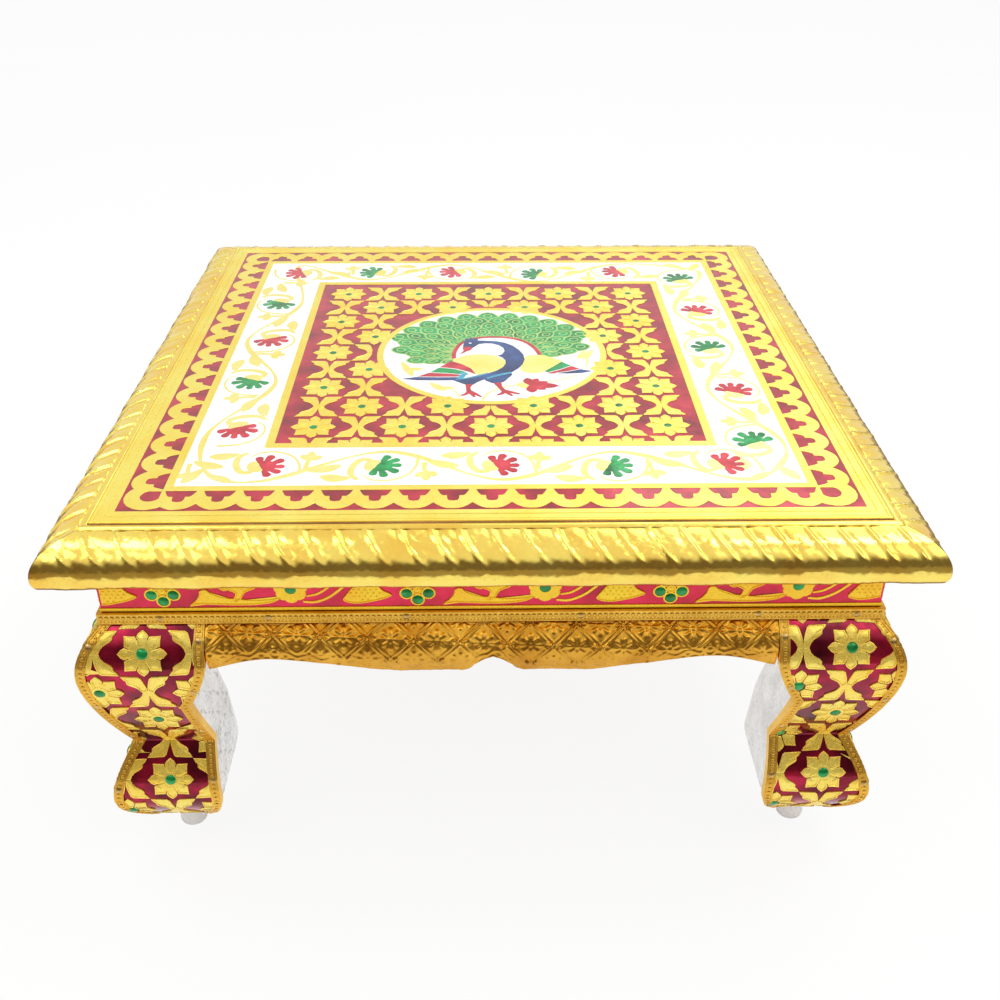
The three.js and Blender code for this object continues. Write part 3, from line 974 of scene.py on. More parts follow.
# Top: peacock in the medallion

painted = {"green": [], "lines": [], "white": [], "red": [], "blue": [], "cyan": [], "yellow": []}
fan_x, fan_y = 1.0, -2.0


def laid_on_disc(tone, shape, high, rim):
    """A shape pulled up from the disc, a hair higher than the one before it."""
    high += 0.0007 * (len(painted[tone]) % 9)
    painted[tone].append(pulled_up(shape, disc_top - 0.02, disc_top + high, rim))


def paint(tone, points, high, steps=2, rim=0.03):
    """A shape of the peacock, drawn with x to the right and y towards the front, up to a height."""
    points = [(x, -y) for x, y in points]
    laid_on_disc(tone, outlined(rounded(points, steps) if steps else points), high, rim)


def brush(tone, points, widths, high, rim=0.03):
    """A stroke of the peacock, drawn the same way."""
    laid_on_disc(tone, stroked([(x, -y) for x, y in points], widths), high, rim)


def fan_point(radius, angle):
    """A point of the peacock's fan, which is a little wider than high, at an angle in degrees."""
    a = math.radians(angle)
    return fan_x + 1.08 * radius * math.cos(a), fan_y + radius * math.sin(a)


# The fan's ground: over its top, down the left, back along the neck and up the right
ground = [fan_point(39, a) for a in range(14, 173, 6)]
ground += [fan_point(r, a) for r, a in ((34, 178), (33, 190), (26.5, 198), (20, 205))]
ground += [fan_point(16, a) for a in range(200, -11, -10)]
ground += [fan_point(r, a) for r, a in ((21, -10), (26.5, -5), (32.5, 1), (37.5, 8))]
painted["green"].append(pulled_up(outlined(ground), disc_top - 0.02, disc_top + 0.012, 0.006))

# Feathers, each with a line round it and an eye, in rings that lap outwards. A ring is given by its
# radius, its first and last angle, and the share of a feather's pitch that it is turned by
feather = [(0, 0), (1.8, -0.6), (3.5, -2.2), (4.6, -4.6), (4.8, -7.6), (4.2, -11.8)]
fan_reach, feather_pitch = 47.2, 12.4
feather_rings = [
    (fan_reach, 28, 158, 0.0), (41.6, 11, 176, 0.5), (35.4, 5, 192, 0.0), (29.0, -2, 199, 0.5),
    (22.6, -9, 206, 0.0),
]
for ring, (reach, first, last, shift) in enumerate(feather_rings):
    low, high = disc_top + 0.004 * ring, disc_top + 0.03 + 0.02 * ring
    shrink = reach / fan_reach
    outline = [(x * shrink, y) for x, y in feather] + [(-x * shrink, y) for x, y in feather[:0:-1]]
    body = pulled_up(outlined(outline), low, high, 0.01)
    half = [(x * shrink, y - 0.35) for x, y in feather]
    line_right = pulled_up(stroked(half, 0.66, 2), low, high + 0.0125, 0.01)
    line_left = pulled_up(stroked([(-x, y) for x, y in half], 0.66, 2), low, high + 0.0115, 0.01)
    eye = [
        (1.9 * shrink * math.cos(a), -4.5 + 2.0 * math.sin(a))
        for a in np.linspace(math.pi / 2, 2.5 * math.pi, 13)
    ]
    eye_ring = pulled_up(stroked(eye, 0.56, 1), low, high + 0.0105, 0.01)
    start = 92 - feather_pitch * 11 + shift * feather_pitch
    angles = [a for a in np.arange(start, 300, feather_pitch) if first <= a <= last]
    places = [
        moved(*fan_point(reach, a), 0.0025 * (n % 2)) @ turned(math.radians(a - 90))
        for n, a in enumerate(angles)
    ]
    painted["green"].append(copied(body, places, "feathers"))
    painted["lines"].append(
        copied(joined([line_right, line_left, eye_ring], "feather_lines"), places, "feather_lines")
    )

# Arch behind the neck, breast and back, neck and thigh
arch = [
    (-15.6, 6.8), (-15.4, 0), (-13.2, -8), (-9, -13), (-3, -15.6), (3, -16), (9, -15), (15, -11.6),
    (19, -6), (21.2, 0), (22, 3.4),
]
paint("white", arch + [(22, 9), (-15.6, 9)], 0.128, 0, 0.01)
brush("red", arch, 1.9, 0.142)
paint(
    "yellow",
    [
        (-16, 8), (-13, 5.4), (-9, 3.3), (-4, 2.5), (1, 3.4), (4.6, 6), (7, 10), (7, 14), (5, 18),
        (2, 21), (-3, 22.6), (-6, 22.2), (-10, 17), (-15, 11.5),
    ],
    0.138,
)
paint(
    "yellow",
    [
        (15.6, 5), (20, 3.3), (24, 4), (28, 7), (31.2, 10), (28, 14.6), (24, 19.4), (20, 21.4),
        (15.6, 21), (13, 17.5), (14.5, 10),
    ],
    0.138,
)
neck = [
    (-10.9, -13), (-10.6, -15.2), (-9.3, -13.6), (-8.4, -16.0), (-7.4, -13.8), (-5.6, -15.2),
    (-5, -12.2), (-1, -11.8), (3, -11.4), (7, -9.6),
    (10.4, -6.4), (13, -2), (14.8, 3), (15.2, 8), (14.2, 13), (12, 17), (9.3, 20.6), (5, 23.6),
    (0.5, 25.8), (-3, 27.8),
    (-5.4, 30), (-7, 32.2), (-10.2, 32.2), (-12.6, 30.4), (-15.2, 28.2), (-12.6, 26.8), (-8.6, 25.8),
    (-4.4, 23.8), (-0.4, 21.6), (3, 19),
    (5.6, 15.8), (6.8, 12.2), (6.8, 8.8), (5.4, 5.8), (3.4, 4.1), (5.4, 2.6), (6.6, -0.6), (6.2, -4),
    (4.2, -7), (1.2, -8.9),
    (-2, -9.2), (-4.8, -8.2), (-6.4, -5.8), (-8, -3.6), (-10.2, -3), (-11.8, -5), (-11.6, -8),
]
paint("blue", neck, 0.152, 1)
paint(
    "blue",
    [
        (-2.2, 27.6), (2, 25.2), (8.8, 22), (9.2, 23.4), (7.6, 26.4), (5.6, 29.8), (2, 31.2),
        (-0.4, 29.8),
    ],
    0.15,
)
# Face, beak and eye
paint("red", [(-11.9, -4.4), (-10, -5.6), (-7.8, -4.8), (-8, -2.6), (-9.6, -0.9), (-11.4, -2)], 0.158)
paint("red", [(-11.2, -2.4), (-9.4, -1.4), (-11, 0.6), (-13.2, 2.9), (-12, 0)], 0.156, 1)
paint("white", [(-9.3, -9.6), (-8.3, -9.9), (-7.9, -9), (-8.9, -8.7)], 0.162, 2, 0.01)
# Feet with their toes, and the pale edges of the thighs
for foot in (((-8.7, 31.6), (-9.1, 35), (-8.7, 39.4)), ((3.0, 30.4), (4.2, 35), (6.0, 39.2))):
    brush("red", foot, [3.4, 1.9, 2.1], 0.146)
for toe in (
    ((-8.7, 38.6), (-10, 41), (-12, 42.4)), ((-8.6, 38.6), (-7.4, 41.4), (-6.4, 43.8)),
    ((-8.6, 38.4), (-6, 41), (-3.8, 43.6)), ((6, 38.6), (4.6, 40.8), (2.8, 42)),
    ((6, 38.6), (7.6, 41), (9, 42.8)), ((6, 38.2), (9, 39.8), (12, 41.2)),
):
    brush("red", toe, [1.9, 1.5, 0.8], 0.144)
brush("cyan", [(-1.4, 26.8), (3, 23.9), (9, 21)], [1.3, 1.5, 1.3], 0.154)
brush("cyan", [(-14.4, 27.6), (-9, 26.2), (-3.6, 23.2), (-0.6, 21.5)], [0.9, 1.1, 1.0, 0.7], 0.158)
brush("cyan", [(-11.4, 20.6), (-11.6, 23.4), (-13, 26.4)], [2.2, 2.8, 2.4], 0.144)
# Tail feathers on the left, with pale lines between them
paint(
    "red", [(-16.8, 9.3), (-21.3, 15.3), (-14, 17), (-9, 19.8), (-6, 22.4), (-8, 17), (-12, 12.6)],
    0.142, 1,
)
paint("green", [(-21.8, 16), (-25.2, 20.4), (-16, 21.6), (-9, 22.8), (-11, 20), (-15, 17.6)], 0.14, 1)
paint("red", [(-25.8, 21), (-30.4, 24.5), (-20, 24.8), (-12.4, 24.8), (-12, 22.6), (-18, 22)], 0.138, 1)
paint(
    "blue",
    [(-30.8, 25), (-36.8, 26.6), (-31, 27.8), (-22, 28.1), (-13.6, 28), (-13, 25.4), (-22, 25.5)], 0.14,
    1,
)
for stripe in (
    ((-20.5, 16.0), (-14, 17.6), (-9.5, 20.6)), ((-25.0, 20.8), (-18, 21.7), (-12, 22.9)),
    ((-30, 24.9), (-22, 25.2), (-13, 25.1)),
):
    brush("white", stripe, 0.5, 0.152, 0.01)
# Tail feathers on the right
paint("green", [(31, 10.6), (34.8, 14.4), (30, 18), (25, 21), (23.4, 19.8), (27, 15.6)], 0.14, 1)
paint("red", [(35.2, 14.9), (38.4, 17.8), (33, 20.2), (27, 21.9), (24.4, 21.8), (30, 18.4)], 0.142, 1)
paint("blue", [(38.8, 18.2), (43.3, 19.9), (39, 21.5), (33, 22), (29, 21.8), (34, 20.2)], 0.14, 1)
for stripe in (((34.8, 14.8), (30, 18.3), (24.8, 21.3)), ((38.4, 18.1), (33, 20.3), (28, 21.8))):
    brush("white", stripe, 0.45, 0.15, 0.01)
# Red flower, its calyx and stems, and the yellow leaves
for tip, width in (
    ((15.4, 26.4), 4.4), ((20.0, 27.0), 3.8), ((24.2, 30.0), 3.8), ((28.4, 33.8), 4.6),
    ((23.0, 37.0), 3.6), ((17.4, 39.8), 4.6),
):
    paint("red", leaf((16.8, 33.2), tip, width), 0.1)
paint(
    "yellow", [(11.4, 31.2), (15, 30.4), (17.6, 32.4), (16.8, 35.4), (13.4, 35.6), (11.4, 33.6)], 0.09,
)
brush("yellow", [(-3.2, 47.6), (-2, 42), (2, 37.4), (7, 34), (12.4, 33)], 0.8, 0.07)
brush("yellow", [(14, 31.4), (22, 30.4), (31, 27.6), (36.6, 23.6)], 0.7, 0.07)
for base, tip, width in (
    ((-38, 10), (-32.6, 24), 3.6), ((-36, 17.4), (-28.6, 17), 3.0), ((-25, 30.6), (-18.4, 38), 3.8),
    ((-22, 35.6), (-14.8, 35), 2.8),
    ((45.4, -1.6), (40.4, 8), 3.8), ((42, -1.2), (38.4, 7.4), 2.4),
):
    paint("yellow", leaf(base, tip, width), 0.07)
brush("yellow", [(42.4, 4), (42.4, 10), (41, 16)], [1.2, 0.9, 0.6], 0.065)
brush("yellow", [(-16, 36), (-13.6, 40), (-12.4, 44)], 0.7, 0.065)

for tone, finish, slot in (
    ("green", feather_green, "top_enamel"),
    ("lines", feather_line, "gold_sheet"),
    ("white", white_enamel, "top_enamel"),
    ("red", flower_red, "red_enamel"),
    ("blue", blue_enamel, "top_enamel"),
    ("cyan", cyan_enamel, "top_enamel"),
    ("yellow", vine_gold, "gold_sheet"),
):
    done(faces_outward(joined(painted[tone], f"peacock_{tone}")), finish)

# Top: moulded edge


def moulding_profile():
    """Points of the edge sheet's face, outwards and up, from the flat to under the board."""
    width, height = 16.1, 15.4
    # The bead round the flat, then the round of the board, then its lower corner
    points = [
        (135.75, 152.9), (135.95, 153.7), (136.4, 154.05), (137.1, 154.14), (137.9, 154.06),
        (138.5, 153.8), (138.95, 153.1),
    ]
    for k in range(1, 61):
        angle = (k / 60) * math.pi / 2
        out = math.sin(angle) ** (2 / 2.3)
        up = 0.3 + 0.7 * math.cos(angle) ** (2 / 2.3)
        point = (
            flat_half + out * width + skin * math.sin(angle),
            frame_top + up * height + skin * math.cos(angle),
        )
        if point[0] > 139.3:
            points.append(point)
    for k in range(1, 17):
        angle = (k / 16) * math.pi / 2
        out = 1 - 0.15 * (1 - math.cos(angle))
        up = 0.3 * (1 - math.sin(angle))
        points.append(
            (
                flat_half + out * width + skin * math.cos(angle),
                frame_top + up * height - 0.3 * math.sin(angle),
            )
        )
    points.append((148.6, 136.98))
    return points


def resampled(points, pitch):
    """The same line with points at an even pitch, and how far along it each lies."""
    points = np.array(points)
    along = np.concatenate([[0], np.cumsum(np.hypot(*np.diff(points, axis=0).T))])
    places = np.linspace(0, along[-1], int(along[-1] / pitch) + 1)
    return np.stack([np.interp(places, along, column) for column in points.T], 1), places


def waves(seed, count, longest, shortest):
    """A sum of sines in one direction or two: the hand-made unevenness of a sheet."""
    numbers = np.random.default_rng(seed)
    parts = []
    for _ in range(count):
        length = np.exp(numbers.uniform(math.log(shortest), math.log(longest)))
        slant = numbers.uniform(-0.9, 0.9)
        phase, size = numbers.uniform(0, 6.28), numbers.uniform(0.5, 1.0)
        parts.append((2 * math.pi / length, slant, phase, size * length / longest))

    def height(u, v):
        return sum(size * np.sin(rate * (u + slant * v) + phase) for rate, slant, phase, size in parts)

    return height


def bump_line(distance, width):
    """A smooth ridge, one high at its middle, at a distance from it."""
    return np.exp(-((distance / width) ** 2))


crease_pitch = 10.5
# The furthest that the edge sheets reach, and the half gap of their mitres
edge_reach, mitre_gap = 152.38, 0.12


def crease_height(u, s, seed):
    """Height of the foil on the moulding: rope creases that slant across it, and uneven hammering."""
    numbers = np.random.default_rng(seed)
    jitter = numbers.uniform(-0.9, 0.9, 64)
    depth = numbers.uniform(0.7, 1.25, 64)
    slope = 9.0 * np.clip((s - 4.5) / 16.0, 0, 1) ** 1.5
    # The creases start past the bead and grow faint towards the lower corner
    fade = np.clip((s - 3.6) / 1.6, 0, 1) * (0.25 + 0.75 * np.clip((19.5 - s) / 5, 0, 1))
    fade = fade * np.clip((27 - s) / 3, 0, 1)
    height = np.zeros_like(u)
    for k in range(-16, 17):
        line = k * crease_pitch + jitter[k + 20] + slope
        off = u - line
        ridge = 0.42 * bump_line(off, 0.75) - 0.3 * bump_line(off - 1.9, 1.3)
        ridge -= 0.14 * bump_line(off + 1.8, 1.2)
        height += depth[k + 20] * fade * ridge
    past_bead = np.clip((s - 3.4) / 1.5, 0, 1)
    height += 0.1 * waves(seed + 1, 9, 46, 9)(u, 1.6 * s) * past_bead
    height += 0.028 * waves(seed + 2, 9, 8, 2.6)(u, s) * past_bead
    return height


def edge_sheet(side, seed):
    """One side's moulded sheet: a creased face, from the flat to under the board, and a plain back."""
    profile, along = resampled(moulding_profile(), 0.62)
    around = np.gradient(profile, axis=0)
    around /= np.hypot(*around.T)[:, None]
    normal = np.stack([-around[:, 1], around[:, 0]], 1)
    steps = 481
    share = np.linspace(-1, 1, steps)
    rows = []
    for (out, up), (nx, nz), s in zip(profile, normal, along):
        u = share * (out - mitre_gap)
        limit = np.minimum(1, (1 - np.abs(share)) * 24)
        height = crease_height(u, np.full(steps, s), seed) * limit
        if nx > 0.05:
            height = np.minimum(height, (edge_reach - out) / max(nx, 0.25))
        reach = out + nx * height
        rows.append(np.stack([u * reach / out, -reach, up + nz * height], 1))
    back = [
        (148.8, 137.35), (150.6, 139.5), (151.75, 142.4), (151.2, 146.2), (149.3, 149.4), (146, 151.8),
        (142, 152.75), (136.0, 152.85),
    ]
    for out, up in [(138.1, 136.95), (138.1, 137.25), *back]:
        u = share * (out - mitre_gap)
        rows.append(np.stack([u, np.full(steps, -out), np.full(steps, up)], 1))
    rows.append(rows[0])
    piece = closed_sheet(f"{side}_moulded_edge", rows)
    piece.data.transform(side_turn[side])
    smooth(piece, 50)
    return done(piece, edge_gold, [f"{side}_edge_sheet"])


for number, side in enumerate(side_turn):
    edge_sheet(side, 40 + 10 * number)

# Frieze round the frame

# From a drawing seen from outside, x to the right and y up, to the front of the table
standing = Matrix(((1, 0, 0, 0), (0, 0, -1, 0), (0, 1, 0, 0), (0, 0, 0, 1)))
frieze_start, frieze_period, frieze_half = -115, 88.7, 136.6
frieze_gold_parts, frieze_green_parts = [], []
# Heights of the beads' and the flower's middle, and where the flower is
beads_z, flower_x, flower_z = 126.7, 44.6, 127.6


def clad(points, high, steps=3):
    """A raised figure of the frieze, with a wire round it and a hollow inside."""
    shape = pulled_up(outlined(rounded(points, steps) if steps else points), -0.05, high + 0.2, 0.12)
    edit(shape)
    bpy.ops.mesh.select_mode(type="FACE")
    bpy.ops.mesh.select_all(action="DESELECT")
    leave()
    top = max(shape.data.polygons, key=lambda face: face.center.z)
    top.select = True
    work_on(shape)
    bpy.ops.object.mode_set(mode="EDIT")
    bpy.ops.mesh.inset(thickness=0.24 * MM)
    bpy.ops.mesh.inset(thickness=0.2 * MM, depth=-0.34 * MM)
    bpy.ops.mesh.poke(offset=0.16 * MM)
    bpy.ops.mesh.select_mode(type="VERT")
    leave()
    frieze_gold_parts.append(shape)


def trail(points, widths, high=0.3):
    frieze_gold_parts.append(pulled_up(stroked(points, widths), -0.05, high, 0.1))


for k in range(5):
    angle = math.radians(-90 + 72 * k)
    x, z = 4.0 * math.cos(angle), beads_z + 4.0 * math.sin(angle)
    setting = pulled_up(outlined(round_points(2.55, 16, x, z)), -0.05, 0.26 + 0.004 * k, 0.1)
    frieze_gold_parts.append(setting)
    bead = green_bead(2.05, 0.5)
    bead.data.transform(moved(x, z, 0.2))
    frieze_green_parts.append(bead)
clad(round_points(1.7, 12, 0, 126.9), 0.42, 0)
# Trumpet, its stem and leaf
clad(
    [
        (9, 120.9), (13, 121.4), (18, 121.2), (25, 120.9), (32, 121.0), (38, 122.0), (41, 124.0),
        (37, 123.2), (31, 123.0), (26, 123.6), (21, 124.2), (17, 126.0), (15.4, 127.6), (13.2, 127.2),
        (12.6, 125.0), (11, 122.8),
    ],
    0.3,
)
clad(
    [
        (24, 122.6), (26.6, 122.8), (28.8, 126.4), (32.6, 128.4), (29.4, 130.4), (24.8, 129.4),
        (22.8, 127.8), (25.4, 126.0),
    ],
    0.34,
)
clad([(19.6, 128.6), (22.4, 127.2), (24.6, 130.6), (23.4, 134.4), (20.2, 136.2), (18.6, 132.6)], 0.3)
trail([(20.8, 135.4), (15, 134.8), (10.8, 132.2), (9.6, 129.0)], [1.1, 1.0, 0.9, 0.6])
# Gold flower with a green middle
for k in range(7):
    angle = math.radians(-90 + 360 / 7 * k)
    base, tip = [(flower_x + r * math.cos(angle), flower_z + r * math.sin(angle)) for r in (1.6, 6.0)]
    shape = outlined(rounded(leaf(base, tip, 4.6, round_petal), 2))
    frieze_gold_parts.append(pulled_up(shape, -0.05, 0.3 + 0.006 * k, 0.14))
bead = green_bead(2.1, 0.42)
bead.data.transform(moved(flower_x, flower_z, 0.25))
frieze_green_parts.append(bead)
# Two stems that leave it, and the leaf with dots that they carry
trail(
    [(48.6, 122.2), (53, 122.0), (58, 124.2), (62.6, 128.2), (65.6, 131.6)], [0.8, 1.0, 1.0, 1.0, 0.8],
)
trail([(50, 124.6), (54, 125.6), (58.2, 128.8), (61, 132.4)], [0.7, 0.9, 0.9, 0.7])
clad(
    [
        (62.6, 123.0), (65, 121.6), (68.6, 121.4), (73, 122.2), (76.6, 123.2), (79.8, 124.8),
        (76.8, 126.8), (74.6, 129.2), (70.6, 130.2), (66.4, 128.4), (64.6, 126.2),
    ],
    0.36,
)
clad(
    [
        (60.6, 134.6), (64.6, 132.2), (69.4, 132.6), (74.4, 134.4), (78.6, 136.2), (72.4, 136.8),
        (65.6, 136.6),
    ],
    0.3,
)
clad(
    [(-8.6, 134.8), (-4.6, 133.0), (0, 132.6), (4.4, 133.4), (7.4, 135.4), (2.4, 136.6), (-3.4, 136.6)],
    0.3,
)
trail([(37.6, 134.6), (41, 136.0), (46, 136.2), (51, 134.6), (54.6, 135.0)], [0.7, 1.0, 1.1, 1.0, 0.6])
for n in range(26):
    x, z = 65.4 + 2.0 * (n % 6) + (1.0 if (n // 6) % 2 else 0), 122.9 + 1.45 * (n // 6)
    if (x - 70.6) ** 2 / 36 + (z - 125.8) ** 2 / 10.5 < 1:
        dot = green_bead(0.42, 0.3, 6, 4)
        dot.data.transform(moved(x, z, 0.3))
        frieze_gold_parts.append(dot)


def on_frieze(parts, name, finish):
    """One period's parts, repeated along the front, cut at its ends and copied to each side."""
    piece = joined(parts, name)
    edit(piece)
    bpy.ops.mesh.normals_make_consistent(inside=False)
    leave()
    piece = copied(piece, [moved(frieze_start + k * frieze_period) for k in range(-1, 3)], name)
    edit(piece)
    for x in (-1, 1):
        bpy.ops.mesh.select_all(action="SELECT")
        bpy.ops.mesh.bisect(
            plane_co=(x * frieze_half * MM, 0, 0), plane_no=(x, 0, 0), use_fill=True, clear_outer=True,
        )
    leave()
    piece.data.transform(moved(0, -frieze_face, 0) @ standing)
    return done(copied(piece, side_turn.values(), name), finish)


on_frieze(frieze_gold_parts, "frieze_figures", frieze_gold)
on_frieze(frieze_green_parts, "frieze_beads", green_enamel)


def flat_band(name, half, reach, low, high, finish):
    """A band round the table, from half out by reach, between two heights."""
    piece = square_band(half + reach, half, low, high, 0)
    work_on(piece)
    soft = piece.modifiers.new("soft", "BEVEL")
    soft.width = 0.1 * MM
    soft.segments = 2
    bpy.ops.object.modifier_apply(modifier=soft.name)
    piece.name = name
    return done(faces_outward(piece), finish)


flat_band("frieze_lower_line", frieze_face - 0.02, 0.42, 118.64, 119.9, frieze_gold)
flat_band("frieze_upper_line", frieze_face - 0.02, 0.3, 136.7, 137.5, frieze_gold)

# Legs

leg_levels = np.linspace(0, leg_height, 514)


def way(kind, t):
    """The share of its way that a curve of this kind has gone at t."""
    return {
        "early": np.sin(t * math.pi / 2),
        "late": 1 - np.cos(t * math.pi / 2),
        "swollen": 1 - (1 - t) ** 2.5,
        "swept": t**1.5,
        "even": t,
    }[kind]


def along_stops(stops, drop):
    """How far out the line through the stops lies at each drop."""
    value = np.full(len(drop), float(stops[0][1]))
    for (d0, v0, _), (d1, v1, kind) in zip(stops, stops[1:]):
        t = np.clip((drop - d0) / (d1 - d0), 0, 1)
        value = np.where(drop > d0, v0 + (v1 - v0) * way(kind, t), value)
    return value


# Stops of the leg's outline: drop from the leg's top, how far out, and the way it gets there
outer_stops = [
    (5.0, 0, ""), (24.01, 10, "swollen"), (63.3, -1.5, "swept"), (85.57, 8.1, "early"),
    (leg_height, -1, "late"),
]
inner_stops = [
    (17.96, 0, ""), (37.96, 8.5, "swept"), (63.3, 4.6, "even"), (85.57, 3.2, "even"),
    (leg_height, 10, "late"),
]
outer_line = leg_outer + along_stops(outer_stops, leg_levels)
inner_line = leg_inner + along_stops(inner_stops, leg_levels)


class Face:
    """A curved upright face that a flat drawing is wrapped on: x across, y its arc length downwards."""

    def __init__(self, line, levels, reach):
        self.out = line + reach
        self.drop = levels
        self.length = np.concatenate([[0], np.cumsum(np.hypot(np.diff(self.out), np.diff(levels)))])

    def at(self, s):
        """How far out and down the face is at a length, and how far out and up its normal points."""
        before, after = s - 0.4, s + 0.4
        d_out = np.interp(after, self.length, self.out) - np.interp(before, self.length, self.out)
        d_drop = np.interp(after, self.length, self.drop) - np.interp(before, self.length, self.drop)
        size = np.hypot(d_out, d_drop)
        out, drop = np.interp(s, self.length, self.out), np.interp(s, self.length, self.drop)
        return out, drop, d_drop / size, d_out / size

    def wrap(self, piece):
        """Moves a drawing, whose height is outwards, onto the front of the table."""
        points = np.empty(len(piece.data.vertices) * 3)
        piece.data.vertices.foreach_get("co", points)
        x, s, h = points.reshape(-1, 3).T / MM
        s = np.clip(-s, 0, self.length[-1])
        out, drop, outward, upward = self.at(s)
        found = np.stack([x, -(out + h * outward), leg_top - (drop - h * upward)], 1) * MM
        piece.data.vertices.foreach_set("co", found.ravel())
        piece.data.update()
        return piece

    def cut_across(self, piece, first, last, pitch):
        """Cuts a drawing across at a pitch, so that it can follow the face."""
        edit(piece)
        for s in np.arange(first, last, pitch):
            bpy.ops.mesh.select_all(action="SELECT")
            bpy.ops.mesh.bisect(plane_co=(0, -s * MM, 0), plane_no=(0, 1, 0))
        leave()
        return piece


leg_face = Face(outer_line, leg_levels, skin)
strip_face = Face(outer_line, leg_levels, 1.5)


def trimmed(points, room):
    """The part of a flat outline where there is room, which is measured inwards from an edge."""
    kept = []
    for a, b in zip(points, points[1:] + points[:1]):
        room_a, room_b = room(*a), room(*b)
        if room_a >= 0:
            kept.append(a)
        if (room_a < 0) != (room_b < 0):
            share = room_a / (room_a - room_b)
            kept.append((a[0] + (b[0] - a[0]) * share, a[1] + (b[1] - a[1]) * share))
    return kept


def edge_at(line, y):
    return float(np.interp(np.interp(-y, leg_face.length, leg_levels), leg_levels, line))


# From each edge of the leg's face, drawn in a little
face_rooms = (
    lambda x, y: edge_at(outer_line, y) - 0.9 - x,
    lambda x, y: x - edge_at(inner_line, y) - 0.9,
    lambda x, y: -3.2 - y,
    lambda x, y: y + leg_face.length[-1] - 1.2,
)


def petals_on_face(outlines, places, height, wire, hollow, ridge):
    """Embossed petals round each place, each cut off where the face ends."""
    petals = []
    for x, s in places:
        for outline in outlines:
            points = [(x + px, 0.965 * py - s) for px, py in outline]
            for room in face_rooms:
                points = trimmed(points, room) if points else points
            if len(points) > 2 and abs(area_of(points)) > 1.6:
                petals.append(embossed_petal(points, height, wire, hollow, ridge))
    return petals


def quarter_turned(outline):
    turns = ((1, 0), (0, 1), (-1, 0), (0, -1))
    return [[(c * x - s * y, s * x + c * y) for x, y in outline] for c, s in turns]


def mirrored_ways(outline):
    return [[(x * mx, y * my) for x, y in outline] for mx in (1, -1) for my in (1, -1)]


leg_relief = 0.44
leg_cell_across, leg_cell_down = 17.4, 16.9


def leg_pattern(column, first, name):
    """Flowers and crosses of one leg face, drawn for a leg on the right."""
    # Their places: all whose middle lies on the face or close to it
    flowers, crosses = [], []
    for i in range(-2, 3):
        for j in range(-1, 7):
            x, s = column + leg_cell_across * i, first + leg_cell_down * j
            if 98 < x < 152 and s < 118:
                (crosses if (i + j) % 2 else flowers).append((x, s))

    def on_face(piece, places, margin, label, high=0):
        """The piece at each place that has that much room on both sides."""
        roomy = [
            (x, s) for x, s in places
            if edge_at(inner_line, -s) + margin < x < edge_at(outer_line, -s) - margin and 4 < s < 111
        ]
        return copied(piece, [moved(x, -s, high) for x, s in roomy], label)

    petals = quarter_turned(tip_petal) + quarter_turned(corner_petal)
    figures = petals_on_face(petals, flowers, leg_relief, 0.5, 0.34, 0.22)
    figures += petals_on_face(mirrored_ways(cross_leaf), crosses, leg_relief, 0.48, 0.32, 0.2)
    gold = faces_outward(joined(figures, name))
    rings = on_face(flower_ring(leg_relief + 0.06), flowers, 3.6, "rings")
    knots = on_face(cross_knot(leg_relief + 0.03), crosses, 2.6, "knots")
    gold = joined([gold, rings, knots], name)
    leg_face.wrap(leg_face.cut_across(gold, 4, 112, 1.7))
    beads = on_face(green_bead(2.3, 1.0), flowers, 1.2, "leg_beads", 0.05)
    return gold, leg_face.wrap(beads)


def enamel_ground(side, leg_names):
    """The enamelled sheets of both legs of one side, each a little bent."""
    s = np.linspace(0.1, leg_face.length[-1] - 0.1, 112)
    drop = np.interp(s, leg_face.length, leg_levels)
    inside = np.interp(drop, leg_levels, inner_line) + 0.32
    outside = np.interp(drop, leg_levels, outer_line) - 0.32
    share = np.linspace(0, 1, 15)
    rows = []
    for near, far, length in zip(inside, outside, s):
        x = near + (far - near) * share
        level = np.full(15, length)
        rows.append(np.stack([x, -level, 0.035 * waves(3, 7, 22, 6)(x, level)], 1))
    sheet = leg_face.wrap(shell("leg_sheet", rows[::-1]))
    thickened(sheet)
    both = joined([faces_outward(sheet), mirrored_twin(sheet)], f"{side}_leg_enamel")
    both.data.transform(side_turn[side])
    sheets = [f"{leg}_leg_{side}_sheet" for leg in leg_names]
    return done(smooth(both, 50), deep_red, sheets)


def mirrored_twin(piece):
    """A copy of the piece on the other side of the table's middle."""
    twin = piece.copy()
    twin.data = piece.data.copy()
    scene.collection.objects.link(twin)
    twin.data.transform(Matrix.Diagonal((-1, 1, 1, 1)))
    twin.data.flip_normals()
    return twin


for side, leg_names in (
    ("front", ("front_left", "front_right")),
    ("right", ("front_right", "back_right")),
    ("back", ("back_right", "back_left")),
    ("left", ("back_left", "front_left")),
):
    enamel_ground(side, leg_names)

right_gold, right_beads = leg_pattern(127.5, 16.2, "right_pattern")
left_gold, left_beads = leg_pattern(123.5, 16.5, "left_pattern")
for pattern, twin, name, finish, slot in (
    (right_gold, left_gold, "leg_figures", leg_gold, "gold_sheet"),
    (right_beads, left_beads, "leg_flower_beads", green_enamel, "top_enamel"),
):
    left_side = mirrored_twin(twin)
    bpy.data.objects.remove(twin)
    both = joined([pattern, left_side], name)
    done(smooth(copied(both, side_turn.values(), name), 35), finish)

# Beads and nails


